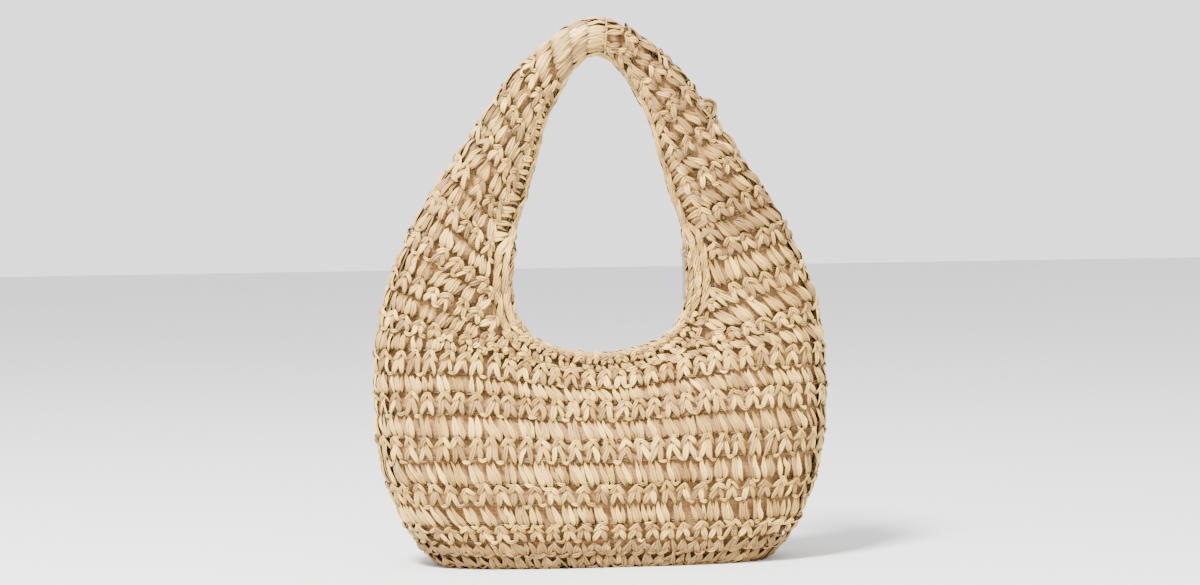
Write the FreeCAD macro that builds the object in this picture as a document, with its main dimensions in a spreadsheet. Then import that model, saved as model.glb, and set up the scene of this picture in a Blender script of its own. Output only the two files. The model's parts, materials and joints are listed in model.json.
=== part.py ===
"""Crocheted straw hobo bag: crescent body that runs on into its own shoulder strap, zipped mouth.

Frame: millimetres, origin at the centre of the flat base, +Z up, the front faces -Y, X across.
The mouth and the opening under the strap lie round the mouth centre, a point on the Z axis, and
the soft shells are lofted through sections that stand on planes through that point along Y.
"""

import FreeCAD, Part

import math
import os

from FreeCAD import Placement, Rotation, Vector

DOC = FreeCAD.newDocument("hobo_bag")
X_AXIS = Vector(1, 0, 0)
Y_AXIS = Vector(0, 1, 0)

# ------------------------------------------------------------------ driving dimensions
DIMENSIONS = [
    ("mouth_height", 214.0, "height of the mouth centre above the base"),
    ("wall", 7.0, "thickness of the crochet on the body"),
    ("strap_wall", 5.0, "thickness of the crochet on the strap"),
    ("strap_lining_gap", 0.5, "air between the strap and its lining"),
    ("lining_gap", 0.6, "air between crochet and lining"),
    ("lining_cloth", 1.0, "thickness of the lining"),
    ("rim_half", 14.0, "half of the bag's depth at the rim of the mouth"),
    ("base_rows", 28.0, "height of the dense rounds at the base"),
    ("rim_radius", 85.0, "lower edge of the rim bands, from the mouth centre"),
    ("body_gap", 0.6, "gap between the rim bands and the walls they swing away from"),
    ("board_long", 200.0, "base board, across"),
    ("board_deep", 60.0, "base board, front to back"),
    ("board_thick", 2.0, "base board, thickness"),
    ("board_gap", 0.3, "air under and over the base board"),
    ("fold_height", 290.0, "height of the line on which the strap folds over"),
    ("fold_radius", 16.0, "radius of the rounded foot of the strap at the fold"),
    ("fold_gap", 0.5, "clearance at the fold"),
    ("fold_angle", 60.0, "how far the strap folds each way"),
    ("zip_radius", 72.0, "radius of the zip's arc about the mouth centre"),
    ("tape_thick", 0.6, "thickness of the zip tape"),
    ("tape_inner", 3.2, "half of the gap between the tapes, where the teeth are held"),
    ("tape_bend", 6.4, "where the tape turns down along the rim"),
    ("tape_foot", 8.2, "how far out the tape's sewn edge stands"),
    ("tape_edge", 84.0, "radius of the tape's sewn edge"),
    ("tooth_inner", 0.7, "near end of a tooth"),
    ("tooth_outer", 3.2, "far end of a tooth"),
    ("tooth_high", 3.0, "height of a tooth"),
    ("tooth_long", 1.4, "length of a tooth along the zip"),
    ("tooth_pitch", 2.8, "spacing of the teeth along the zip"),
    ("slider_angle", 8.0, "angle of the closed slider above level, at the right of the mouth"),
    ("slider_travel", 172.0, "angle that the slider travels"),
    ("slider_long", 9.0, "length of the slider"),
    ("slider_wide", 9.6, "width of the slider"),
    ("plate_thick", 1.2, "thickness of the slider's plates"),
    ("plate_space", 4.4, "space between the slider's plates"),
    ("web_thick", 0.8, "thickness of the slider's dividing web"),
    ("web_long", 3.0, "length of the slider's dividing web"),
    ("flange_thick", 0.7, "thickness of the slider's side flanges"),
    ("flange_reach", 1.2, "how far a side flange reaches over the tape"),
    ("stop_wide", 2.3, "width of one top stop"),
    ("stop_long", 1.8, "length of a top stop along the zip"),
    ("stop_proud", 0.2, "how far a stop stands over the teeth"),
    ("bottom_stop_wide", 6.2, "width of the bottom stop"),
    ("bottom_stop_long", 3.0, "length of the bottom stop along the zip"),
    ("bail_long", 7.2, "length of the bail"),
    ("bail_high", 9.2, "height of the bail above the slider"),
    ("bail_bar", 1.2, "thickness of the bail's bar"),
    ("bail_wide", 2.0, "width of the bail"),
    ("bail_foot", 0.6, "depth of the bail's foot under its opening"),
    ("bail_slope", 1.4, "size of the bail's cut corners"),
    ("pivot_high", 6.6, "height of the puller's pivot above the slider"),
    ("puller_long", 35.0, "length of the puller"),
    ("puller_wide", 6.0, "width of the puller"),
    ("puller_thick", 1.6, "thickness of the puller"),
    ("eye_wide", 3.2, "width of the puller's eye"),
    ("eye_long", 4.6, "length of the puller's eye"),
    ("puller_corner", 1.5, "size of the cut corners at the puller's tip"),
    ("pocket_wide", 140.0, "width of the slip pocket"),
    ("pocket_low", 45.0, "height of the pocket's lower edge"),
    ("pocket_high", 104.0, "height of the pocket's hem line"),
    ("hem_high", 8.0, "height of the pocket's hem"),
    ("pocket_gap", 0.1, "air between the lining and the pocket"),
    ("pocket_cloth", 0.8, "thickness of the pocket"),
]

sheet = DOC.addObject("Spreadsheet::Sheet", "Dimensions")
for row, (alias, value, meaning) in enumerate(DIMENSIONS, start=1):
    sheet.set(f"A{row}", alias)
    sheet.set(f"B{row}", str(value))
    sheet.set(f"C{row}", meaning)
    sheet.setAlias(f"B{row}", alias)
DOC.recompute()


def dim(alias):
    """Value of a driving dimension."""
    return float(sheet.get(alias))


def cell(alias):
    """The same dimension as an expression."""
    return f"Dimensions.{alias}"


MOUTH = Vector(0, 0, dim("mouth_height"))

# Stations of the right half, from the top of the strap (90 degrees) down to the base (-90):
# angle about the mouth centre, inner radius, outer radius, greatest half depth, edge roundness.
STATIONS = [
    (90, 153.0, 180.0, 10.5, 3),
    (75, 123.0, 163.5, 11.5, 3),
    (60, 91.0, 144.5, 13.5, 3),
    (45, 74.5, 132.5, 15.2, 3),
    (30, 68.0, 130.5, 17.0, 3),
    (17, 65.0, 135.7, 19.5, 3),
    (0, 65.5, 148.7, 22.5, 3.5),
    (-15, 68.0, 166.5, 26.5, 4),
    (-30, 71.5, 188.6, 32.0, 5),
    (-45, 72.0, 219.5, 40.0, 7),
    (-61, 68.5, 244.0, 46.0, 9),
    (-75, 65.5, 233.0, 49.0, 13),
    (-90, 65.0, 226.0, 49.5, 14),
]
STRAP_FOOT = 17
STRAP_STATIONS = [item for item in STATIONS if item[0] >= STRAP_FOOT]
BODY_STATIONS = [item for item in STATIONS if item[0] <= STRAP_FOOT]
SECTION_STEPS = [0.0, 0.08, 0.18, 0.32, 0.48, 0.64, 0.78, 0.89, 0.96, 1.0]
PEAK_ALONG = 0.58
EDGE_FLAT = 0.97
OPEN_OVERRUN = 4.0


def belly(along):
    """Share of the depth reached at a fraction of the way from rim to outer edge."""
    part = min(along / PEAK_ALONG, 1.0)
    return 0.75 * part + 1.5 * part**2 - 1.25 * part**3


def half_depth(along, rim, deepest, roundness, closed):
    """Half depth of a section: rises from the rim, then rounds off to the outer edge."""
    height = rim + (deepest - rim) * belly(along)
    height *= math.sqrt(1 - EDGE_FLAT * along**roundness)
    if closed:
        height *= math.sqrt(1 - EDGE_FLAT * (1 - along) ** roundness)
    return height


def section(station, inset, closed):
    """Closed section wire on its radial plane, inset from the outer surface."""
    angle, inner, outer, deepest, roundness = station
    rim = min(dim("rim_half"), 0.8 * deepest) - inset
    near = inner
    if inset:
        near += inset if closed else -OPEN_OVERRUN
    far = outer - inset
    turn = math.radians(angle)
    out = Vector(math.cos(turn), 0, math.sin(turn))
    sides = []
    for side in (-1, 1):
        points = []
        for along in SECTION_STEPS:
            height = half_depth(along, rim, deepest - inset, roundness, closed)
            points.append(MOUTH + out * (near + (far - near) * along) + Y_AXIS * side * height)
        sides.append(points)
    curves = []
    for points in sides:
        curve = Part.BSplineCurve()
        curve.interpolate(points)
        curves.append(curve.toShape())
    inner_edge = Part.LineSegment(sides[1][0], sides[0][0]).toShape()
    outer_edge = Part.LineSegment(sides[0][-1], sides[1][-1]).toShape()
    return Part.Wire([inner_edge, curves[0], outer_edge, curves[1]])


def mirrored(stations):
    """Stations of the right half and their images, in order round the ring."""
    left = [(180 - item[0],) + item[1:] for item in reversed(stations) if abs(item[0]) != 90]
    return left + stations if stations[0][0] == 90 else stations + left


def loft(name, stations, inset, closed):
    """Soft solid lofted through inset sections."""
    wires = []
    for number, station in enumerate(mirrored(stations)):
        wire = DOC.addObject("Part::Feature", f"{name}_section_{number}")
        wire.Shape = section(station, inset, closed)
        wires.append(wire)
    solid = DOC.addObject("Part::Loft", name)
    solid.Sections = wires
    solid.Solid = True
    solid.Ruled = False
    return solid


# ------------------------------------------------------------------ tools that divide the shells
BIG = 500.0


def block(name, low, high):
    """Box between two corners."""
    box = DOC.addObject("Part::Box", name)
    box.Length, box.Width, box.Height = (high - low)
    box.Placement = Placement(low, Rotation())
    return box


def bind(item, **expressions):
    """Bind sizes of an object to the sheet."""
    for size, expression in expressions.items():
        item.setExpression(size, expression)
    return item


def sector(name, start, finish, radius=None):
    """Slice of a drum along Y about the mouth centre, between two angles above level."""
    drum = DOC.addObject("Part::Cylinder", name)
    drum.Radius = BIG
    if radius:
        bind(drum, Radius=radius)
    drum.Height = BIG
    drum.Angle = finish - start
    turn = Rotation(Y_AXIS, -start) * Rotation(X_AXIS, 90)
    drum.Placement = Placement(MOUTH + Y_AXIS * BIG / 2, turn)
    return drum


def common(name, *solids):
    """Shared volume of several solids."""
    result = DOC.addObject("Part::MultiCommon", name)
    result.Shapes = list(solids)
    return result


def cut(name, base, tool):
    """One solid less another."""
    result = DOC.addObject("Part::Cut", name)
    result.Base = base
    result.Tool = tool
    return result


def fuse(name, *solids):
    """Union of several solids."""
    result = DOC.addObject("Part::MultiFuse", name)
    result.Shapes = list(solids)
    return result


NODES = []


def node(name, item):
    """Label a finished piece and keep it for export."""
    item.Label = name
    NODES.append(item)
    return item


def above(name, height):
    """Everything over a height, given as an expression."""
    box = block(name, Vector(-BIG, -BIG, 0), Vector(BIG, BIG, BIG))
    box.setExpression("Placement.Base.z", height)
    return box


front_half = block("front_half", Vector(-BIG, -BIG, -BIG), Vector(BIG, 0, BIG))
back_half = block("back_half", Vector(-BIG, 0, -BIG), Vector(BIG, BIG, BIG))
left_half = block("left_half", Vector(-BIG, -BIG, -BIG), Vector(0, BIG, BIG))
right_half = block("right_half", Vector(0, -BIG, -BIG), Vector(BIG, BIG, BIG))

# The lips swing about the chord between the two end positions of the slider.
chord_turn = dim("slider_angle") - dim("slider_travel") / 2 + 90
chord_point = MOUTH + Rotation(Y_AXIS, -dim("slider_angle")).multVec(X_AXIS) * dim("zip_radius")


def under_chord(name, depth):
    """Everything further than a depth under the chord on which the lips swing."""
    box = DOC.addObject("Part::Box", name)
    box.Length = box.Width = box.Height = 2 * BIG
    turn = Rotation(Y_AXIS, -chord_turn)
    corner = chord_point + turn.multVec(Vector(-BIG, -BIG, -depth - 2 * BIG))
    box.Placement = Placement(corner, turn)
    return box


# ------------------------------------------------------------------ crochet of the body
WALL = dim("wall")
LINING_OUT = WALL + dim("lining_gap")
LINING_IN = LINING_OUT + dim("lining_cloth")
BOARD_LOW = f"{cell('wall')} + {cell('board_gap')}"
LINING_FLOOR = f"{BOARD_LOW} + {cell('board_thick')} + {cell('board_gap')}"
LINING_TOP = f"{LINING_FLOOR} + {cell('lining_cloth')}"
RIM = cell("rim_radius")
HALF_GAP = f"{cell('body_gap')} / 2"
CHORD_GAP = 0.5
LIP_END_DEPTH = 10.0

body_outside = loft("body_outside", BODY_STATIONS, 0.0, False)
body_inside = loft("body_inside", BODY_STATIONS, WALL, False)
body_hollow = common("body_hollow", body_inside, above("over_base", cell("wall")))
body_solid = common("body_solid", body_outside, above("over_ground", "0"))
body_shell = cut("body_shell", body_solid, body_hollow)

rows_top = cell("base_rows")
node("crochet_base", cut("base_rounds", body_shell, above("over_base_rows", rows_top)))

lip_drum = sector("lip_drum", 0, 360, f"{RIM} - {HALF_GAP}")
wall_drum = sector("wall_drum", 0, 360, f"{RIM} + {HALF_GAP}")
mouth_core = common("mouth_core", wall_drum, under_chord("below_chord", CHORD_GAP))
wall_ring = cut("wall_ring", body_shell, mouth_core)
walls = common("walls", wall_ring, above("over_rows", rows_top))
below_lip_ends = under_chord("below_lip_ends", LIP_END_DEPTH)
rim_bands = common("rim_bands", body_shell, lip_drum, below_lip_ends)
for side, half in (("front", front_half), ("back", back_half)):
    node(f"crochet_{side}", common(f"wall_{side}", walls, half))
    node(f"rim_{side}", common(f"rim_band_{side}", rim_bands, half))

# ------------------------------------------------------------------ base board and lining

def sketch_on(body, plane, name):
    """New sketch on one of a body's own origin planes."""
    drawing = body.newObject("Sketcher::SketchObject", name)
    face = [item for item in body.Origin.OriginFeatures if item.Role == plane][0]
    drawing.AttachmentSupport = [(face, "")]
    drawing.MapMode = "FlatFace"
    return drawing


def polygon(drawing, points):
    """Closed polygon in a sketch."""
    ring = points + points[:1]
    for start, finish in zip(ring, ring[1:]):
        drawing.addGeometry(Part.LineSegment(Vector(*start, 0), Vector(*finish, 0)))


def pad(body, drawing, length, name):
    """Pad of a sketch, its length bound to an expression."""
    feature = body.newObject("PartDesign::Pad", name)
    feature.Profile = drawing
    feature.setExpression("Length", length)
    return feature


board = DOC.addObject("PartDesign::Body", "board")
board_outline = sketch_on(board, "XY_Plane", "board_outline")
long_half, deep_half = dim("board_long") / 2, dim("board_deep") / 2
board_outline.addGeometry(Part.Ellipse(Vector(0, 0, 0), long_half, deep_half))
pad(board, board_outline, cell("board_thick"), "board_pad")
board.setExpression("Placement.Base.z", BOARD_LOW)
node("base_board", board)

lining_outside = loft("lining_outside", BODY_STATIONS, LINING_OUT, False)
lining_inside = loft("lining_inside", BODY_STATIONS, LINING_IN, False)
sack = common("lining_sack", lining_outside, above("over_floor", LINING_FLOOR))
sack_hollow = common("sack_hollow", lining_inside, above("over_lining", LINING_TOP))
lining_drum = sector("lining_drum", 0, 360, f"{RIM} + {cell('lining_cloth')}")
lining_shell = cut("lining_shell", cut("lining_walls", sack, sack_hollow), lining_drum)
floor_top = above("over_floor_cloth", LINING_TOP)
node("lining_base", cut("lining_floor", lining_shell, floor_top))
lining_sides = common("lining_sides", lining_shell, floor_top)
for side, half in (("front", front_half), ("back", back_half)):
    node(f"lining_{side}", common(f"lining_half_{side}", lining_sides, half))

POCKET_OUT = LINING_IN + dim("pocket_gap")
pocket_outside = loft("pocket_outside", BODY_STATIONS, POCKET_OUT, False)
pocket_inside = loft("pocket_inside", BODY_STATIONS, POCKET_OUT + dim("pocket_cloth"), False)
pocket_cloth = cut("pocket_cloth", pocket_outside, pocket_inside)


def pocket_band(name, low, high):
    """The pocket's width of the back, between two heights given as expressions."""
    box = DOC.addObject("Part::Box", name)
    box.Width = BIG
    box.Placement = Placement(Vector(-dim("pocket_wide") / 2, 0, 0), Rotation())
    box.setExpression("Placement.Base.z", low)
    return bind(box, Length=cell("pocket_wide"), Height=f"{high} - {low}")


hem_line = cell("pocket_high")
hem_top = f"({hem_line} + {cell('hem_high')})"
pocket_box = pocket_band("pocket_box", cell("pocket_low"), hem_line)
node("lining_pocket", common("pocket_patch", pocket_cloth, pocket_box))
hem_box = pocket_band("hem_box", hem_line, hem_top)
node("pocket_hem", common("pocket_hem_band", pocket_cloth, hem_box))

# ------------------------------------------------------------------ shoulders and strap
STRAP_WALL = dim("strap_wall")
STRAP_LINING_OUT = STRAP_WALL + dim("strap_lining_gap")
JOIN_START, JOIN_END = 88, 101
FOLD_REACH = 60.0
FOLD_CLEAR = 200.0
fold_line = Vector(-BIG, 0, dim("fold_height"))


def fold_drum(name, radius):
    """Drum along the line on which the strap folds, its radius given as an expression."""
    drum = DOC.addObject("Part::Cylinder", name)
    drum.Height = 2 * BIG
    drum.Placement = Placement(fold_line, Rotation(Y_AXIS, 90))
    return bind(drum, Radius=radius)


def swept_room(name):
    """Room that the strap needs as it folds both ways: its drum and a wide V above it."""
    radius = dim("fold_radius") + dim("fold_gap")
    turn = math.radians(dim("fold_angle"))
    low = Vector(0, radius * math.cos(turn), -radius * math.sin(turn))
    high = Vector(0, FOLD_REACH, low.z + (FOLD_REACH - low.y) / math.tan(turn))
    corners = [low, high, Vector(0, FOLD_REACH, FOLD_CLEAR), Vector(0, -FOLD_REACH, FOLD_CLEAR)]
    corners += [Vector(0, -high.y, high.z), Vector(0, -low.y, low.z)]
    points = [fold_line + corner for corner in corners]
    prism = DOC.addObject("Part::Feature", f"{name}_prism")
    prism.Shape = Part.Face(Part.makePolygon(points + points[:1])).extrude(X_AXIS * 2 * BIG)
    drum = fold_drum(f"{name}_drum", f"{cell('fold_radius')} + {cell('fold_gap')}")
    return fuse(name, prism, drum)


fold_room = swept_room("fold_room")
over_fold = above("over_fold", cell("fold_height"))
strap_zone = fuse("strap_zone", over_fold, fold_drum("fold_foot", cell("fold_radius")))
join_zone = sector("join_zone", JOIN_START, JOIN_END)
strap_outside = loft("strap_outside", STRAP_STATIONS, 0.0, True)
strap_inside = loft("strap_inside", STRAP_STATIONS, STRAP_WALL, True)
strap_lining_outside = loft("strap_lining_outside", STRAP_STATIONS, STRAP_LINING_OUT, True)
strap_lining_inside = loft(
    "strap_lining_inside", STRAP_STATIONS, STRAP_LINING_OUT + dim("lining_cloth"), True
)
strap_tube = cut("strap_tube", strap_outside, strap_inside)
lining_tube = cut("lining_tube", strap_lining_outside, strap_lining_inside)
node("strap_join", common("wrapped_join", strap_tube, join_zone))
strap_upper = cut("strap_upper", common("strap_arms", strap_tube, strap_zone), join_zone)
strap_upper_lining = common("strap_upper_lining", lining_tube, strap_zone)
shoulders = cut("shoulders", strap_tube, fold_room)
shoulder_linings = cut("shoulder_linings", lining_tube, fold_room)
for side, half in (("left", left_half), ("right", right_half)):
    node(f"strap_{side}", common(f"strap_arm_{side}", strap_upper, half))
    node(f"strap_lining_{side}", common(f"arm_lining_{side}", strap_upper_lining, half))
    node(f"shoulder_{side}", common(f"shoulder_tube_{side}", shoulders, half))
    node(f"shoulder_lining_{side}", common(f"shoulder_sleeve_{side}", shoulder_linings, half))

# ------------------------------------------------------------------ zip
ZIP = dim("zip_radius")
LIP_START, LIP_END = 0.0, -156.0
TAPE_ENDS = {"right": (14.0, 4.2), "left": (-160.2, -178.0)}
TEETH_ENDS = {"right": (12.0, 4.5), "left": (-160.6, -168.0)}
TOP_STOP_ANGLE, BOTTOM_STOP_ANGLE = 13.1, -169.8
FIRST_TOOTH = {-1: 0.3, 1: 0.8}


def zip_tape(name, side, start, finish):
    """Tape that lies in the zip's arc and turns down along the rim, between two angles."""
    thick = dim("tape_thick") / 2
    foot = dim("tape_edge")
    profile = [
        (ZIP - thick, dim("tape_inner")),
        (ZIP - thick, dim("tape_bend")),
        (foot, dim("tape_foot")),
        (foot, dim("tape_foot") - 2 * thick),
        (ZIP + thick, dim("tape_bend") - 2 * thick),
        (ZIP + thick, dim("tape_inner")),
    ]
    body = DOC.addObject("PartDesign::Body", name)
    drawing = sketch_on(body, "XY_Plane", f"{name}_profile")
    polygon(drawing, [(radius, side * across) for radius, across in profile])
    turned = body.newObject("PartDesign::Revolution", f"{name}_turned")
    turned.Profile = drawing
    turned.ReferenceAxis = (drawing, ["V_Axis"])
    turned.Angle = start - finish
    body.Placement = Placement(MOUTH, Rotation(Y_AXIS, -start))
    return body


def zip_teeth(name, side, start, finish):
    """Row of separate teeth between two angles; the back row stands half a pitch further on."""
    step = math.degrees(dim("tooth_pitch") / ZIP)
    long, high = dim("tooth_long"), dim("tooth_high")
    near, far = dim("tooth_inner"), dim("tooth_outer")
    low = near if side > 0 else -far
    tooth = Part.makeBox(high, far - near, long, Vector(ZIP - high / 2, low, -long / 2))
    first = FIRST_TOOTH[side]
    teeth = []
    for number in range(int((start - finish) / step)):
        copy = tooth.copy()
        copy.Placement = Placement(MOUTH, Rotation(Y_AXIS, -(start - (number + first) * step)))
        teeth.append(copy)
    row = DOC.addObject("Part::Feature", name)
    row.Shape = Part.makeCompound(teeth)
    return row


def group(name, parts):
    """Several separate solids kept as one piece of the model."""
    result = DOC.addObject("Part::Compound", name)
    result.Links = parts
    return result


SIDES = (("front", -1), ("back", 1))
for side, sign in SIDES:
    node(f"zip_tape_{side}", zip_tape(f"tape_{side}", sign, LIP_START, LIP_END))
    node(f"zip_teeth_{side}", zip_teeth(f"teeth_{side}", sign, LIP_START, LIP_END))
for end, turns in TAPE_ENDS.items():
    pieces = []
    for side, sign in SIDES:
        pieces.append(zip_tape(f"tape_end_{end}_{side}", sign, *turns))
        pieces.append(zip_teeth(f"teeth_end_{end}_{side}", sign, *TEETH_ENDS[end]))
    node(f"zip_end_{end}", group(f"tape_ends_{end}", pieces))


def on_zip(angle, corner):
    """Place on the zip: radius, across and along the way the slider travels, at an angle."""
    turn = Rotation(Y_AXIS, -angle)
    return Placement(MOUTH + turn.multVec(Vector(corner.x, corner.y, -corner.z)), turn)


def zip_block(name, angle, low, high):
    """Box on the zip between two corners given as radius, across and along."""
    box = DOC.addObject("Part::Box", name)
    box.Length, box.Width, box.Height = high - low
    box.Placement = on_zip(angle, Vector(low.x, low.y, high.z))
    return box


STOP_TOP = dim("tooth_high") / 2 + dim("stop_proud")
STOP_HALF = dim("stop_long") / 2
stops = []
for side, sign in SIDES:
    stop_near = sign * dim("tooth_inner")
    near, far = sorted((stop_near, stop_near + sign * dim("stop_wide")))
    low, high = Vector(ZIP - STOP_TOP, near, -STOP_HALF), Vector(ZIP + STOP_TOP, far, STOP_HALF)
    stop = zip_block(f"stop_{side}", TOP_STOP_ANGLE, low, high)
    stops.append(bind(stop, Width=cell("stop_wide"), Height=cell("stop_long")))
node("zip_top_stops", group("top_stops", stops))
half = Vector(STOP_TOP, dim("bottom_stop_wide") / 2, dim("bottom_stop_long") / 2)
middle = X_AXIS * ZIP
bottom_stop = zip_block("bottom_stop", BOTTOM_STOP_ANGLE, middle - half, middle + half)
bind(bottom_stop, Width=cell("bottom_stop_wide"), Height=cell("bottom_stop_long"))
node("zip_bottom_stop", bottom_stop)

# ------------------------------------------------------------------ slider, bail and puller
REST = dim("slider_angle")
PLATE = dim("plate_thick")
SPACE = dim("plate_space") / 2
LONG = dim("slider_long") / 2
WIDE = dim("slider_wide") / 2
TOP_FACE = ZIP - SPACE - PLATE
FLANGE, FLANGE_REACH = dim("flange_thick"), dim("flange_reach")
SLIDER_SIZES = {"Width": cell("slider_wide"), "Height": cell("slider_long")}

plates = []
for name, near in (("top_plate", TOP_FACE), ("bottom_plate", ZIP + SPACE)):
    low, high = Vector(near, -WIDE, -LONG), Vector(near + PLATE, WIDE, LONG)
    plate = zip_block(name, REST, low, high)
    plates.append(bind(plate, Length=cell("plate_thick"), **SLIDER_SIZES))
    face = ZIP - SPACE if near < ZIP else ZIP + SPACE - FLANGE_REACH
    for side, sign in SIDES:
        edge_near, edge_far = sorted((sign * WIDE, sign * (WIDE - FLANGE)))
        low = Vector(face, edge_near, -LONG)
        high = Vector(face + FLANGE_REACH, edge_far, LONG)
        flange = zip_block(f"{name}_flange_{side}", REST, low, high)
        plates.append(bind(flange, Length=cell("flange_reach"), Width=cell("flange_thick")))
web_half = dim("web_thick") / 2
web_low = Vector(ZIP - SPACE, -web_half, -LONG)
web_high = Vector(ZIP + SPACE, web_half, -LONG + dim("web_long"))
web = zip_block("dividing_web", REST, web_low, web_high)
plates.append(bind(web, Length=cell("plate_space"), Width=cell("web_thick")))
node("slider_body", fuse("slider_casting", *plates))

bail = DOC.addObject("PartDesign::Body", "bail")
bail_outline = sketch_on(bail, "XZ_Plane", "bail_outline")
BAIL_LONG, BAIL_HIGH, BAR = dim("bail_long") / 2, dim("bail_high"), dim("bail_bar")
BAIL_SLOPE, BAIL_FOOT = dim("bail_slope"), dim("bail_foot")
INNER_SLOPE = BAIL_SLOPE - 0.3
polygon(
    bail_outline,
    [
        (0, -BAIL_LONG),
        (0, BAIL_LONG),
        (-BAIL_HIGH + BAIL_SLOPE, BAIL_LONG),
        (-BAIL_HIGH, BAIL_LONG - BAIL_SLOPE),
        (-BAIL_HIGH, -BAIL_LONG + BAIL_SLOPE),
        (-BAIL_HIGH + BAIL_SLOPE, -BAIL_LONG),
    ],
)
inner_long = BAIL_LONG - BAR
polygon(
    bail_outline,
    [
        (-BAIL_FOOT, -inner_long),
        (-BAIL_FOOT, inner_long),
        (-BAIL_HIGH + BAIL_SLOPE, inner_long),
        (-BAIL_HIGH + BAR, inner_long - INNER_SLOPE),
        (-BAIL_HIGH + BAR, -inner_long + INNER_SLOPE),
        (-BAIL_HIGH + BAIL_SLOPE, -inner_long),
    ],
)
bail_pad = pad(bail, bail_outline, cell("bail_wide"), "bail_pad")
bail_pad.SideType = "Symmetric"
bail.Placement = on_zip(REST, Vector(TOP_FACE, 0, 0))
node("slider_bail", bail)

puller = DOC.addObject("PartDesign::Body", "puller_body")
puller_outline = sketch_on(puller, "YZ_Plane", "puller_outline")
PULLER_WIDE, BAR_HALF = dim("puller_wide") / 2, dim("puller_thick") / 2
PULLER_END = -dim("puller_long") + BAR_HALF
CORNER = dim("puller_corner")
polygon(
    puller_outline,
    [
        (-PULLER_WIDE, BAR_HALF),
        (PULLER_WIDE, BAR_HALF),
        (PULLER_WIDE, PULLER_END + CORNER),
        (PULLER_WIDE - CORNER, PULLER_END),
        (CORNER - PULLER_WIDE, PULLER_END),
        (-PULLER_WIDE, PULLER_END + CORNER),
    ],
)
EYE_WIDE, EYE_END = dim("eye_wide") / 2, -BAR_HALF - dim("eye_long")
polygon(
    puller_outline,
    [(-EYE_WIDE, -BAR_HALF), (EYE_WIDE, -BAR_HALF), (EYE_WIDE, EYE_END), (-EYE_WIDE, EYE_END)],
)
puller_pad = pad(puller, puller_outline, cell("puller_thick"), "puller_pad")
puller_pad.SideType = "Symmetric"
pivot = on_zip(REST, Vector(TOP_FACE - dim("pivot_high"), 0, 0)).Base
puller.Placement = Placement(pivot, Rotation())
node("puller", puller)

# ------------------------------------------------------------------ check and write
DOC.recompute()
for item in DOC.Objects:
    if "Invalid" in item.State or "Error" in item.State:
        raise RuntimeError(f"{item.Label} failed: {item.State}")
for item in NODES:
    if item.Shape.isNull() or not item.Shape.isValid():
        raise RuntimeError(f"{item.Label} has no valid shape")

os.makedirs("parts", exist_ok=True)
for item in NODES:
    item.Shape.exportStep(f"parts/{item.Label}.step")
    box = item.Shape.BoundBox
    print(
        f"{item.Label:24s} solids {len(item.Shape.Solids):3d} volume {item.Shape.Volume:11.1f}  "
        f"x {box.XMin:7.1f} {box.XMax:7.1f} y {box.YMin:6.1f} {box.YMax:6.1f} "
        f"z {box.ZMin:6.1f} {box.ZMax:6.1f}"
    )
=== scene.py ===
"""Crocheted straw hobo bag: straw ribbon stitches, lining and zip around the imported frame.

The crochet is laid stitch by stitch. A row runs between two level lines on the bag's surface, and
every stitch is a few folded straw ribbons, bent from one blank, that follow the surface there.
"""

import json
import logging
import math
from collections.abc import Callable
from dataclasses import dataclass, field
from enum import Enum

import bmesh
import bpy
import numpy as np
from mathutils import Matrix, Vector


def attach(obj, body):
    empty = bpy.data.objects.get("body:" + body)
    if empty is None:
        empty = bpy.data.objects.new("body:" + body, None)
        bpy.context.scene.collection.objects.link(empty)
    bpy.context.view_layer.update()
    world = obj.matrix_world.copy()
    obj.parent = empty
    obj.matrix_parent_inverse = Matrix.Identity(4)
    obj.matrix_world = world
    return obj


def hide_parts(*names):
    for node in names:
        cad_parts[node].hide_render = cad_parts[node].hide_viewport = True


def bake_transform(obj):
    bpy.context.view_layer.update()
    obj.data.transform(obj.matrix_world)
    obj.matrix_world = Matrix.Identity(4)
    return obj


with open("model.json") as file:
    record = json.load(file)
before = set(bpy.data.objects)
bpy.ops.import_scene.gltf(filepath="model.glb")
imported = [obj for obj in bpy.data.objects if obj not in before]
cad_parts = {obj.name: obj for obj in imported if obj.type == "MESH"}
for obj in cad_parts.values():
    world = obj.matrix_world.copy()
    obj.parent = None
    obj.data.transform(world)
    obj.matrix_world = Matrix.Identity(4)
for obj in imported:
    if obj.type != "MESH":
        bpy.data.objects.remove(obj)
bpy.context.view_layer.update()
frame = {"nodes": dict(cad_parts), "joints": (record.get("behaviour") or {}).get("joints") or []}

MM = 0.001
WAVE_RADIANS = 20.0  # radians that a wave texture turns in one unit at a scale of one
LOG = logging.getLogger("bag")
Colour = tuple[float, float, float, float]


# ------------------------------------------------------------------------------ shader expressions
def srgb(red: int, green: int, blue: int) -> Colour:
    """Colour for a socket from 0 to 255 screen values."""
    linear = []
    for value in (red / 255, green / 255, blue / 255):
        linear.append(value / 12.92 if value <= 0.04045 else ((value + 0.055) / 1.055) ** 2.4)
    return (linear[0], linear[1], linear[2], 1.0)


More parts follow.
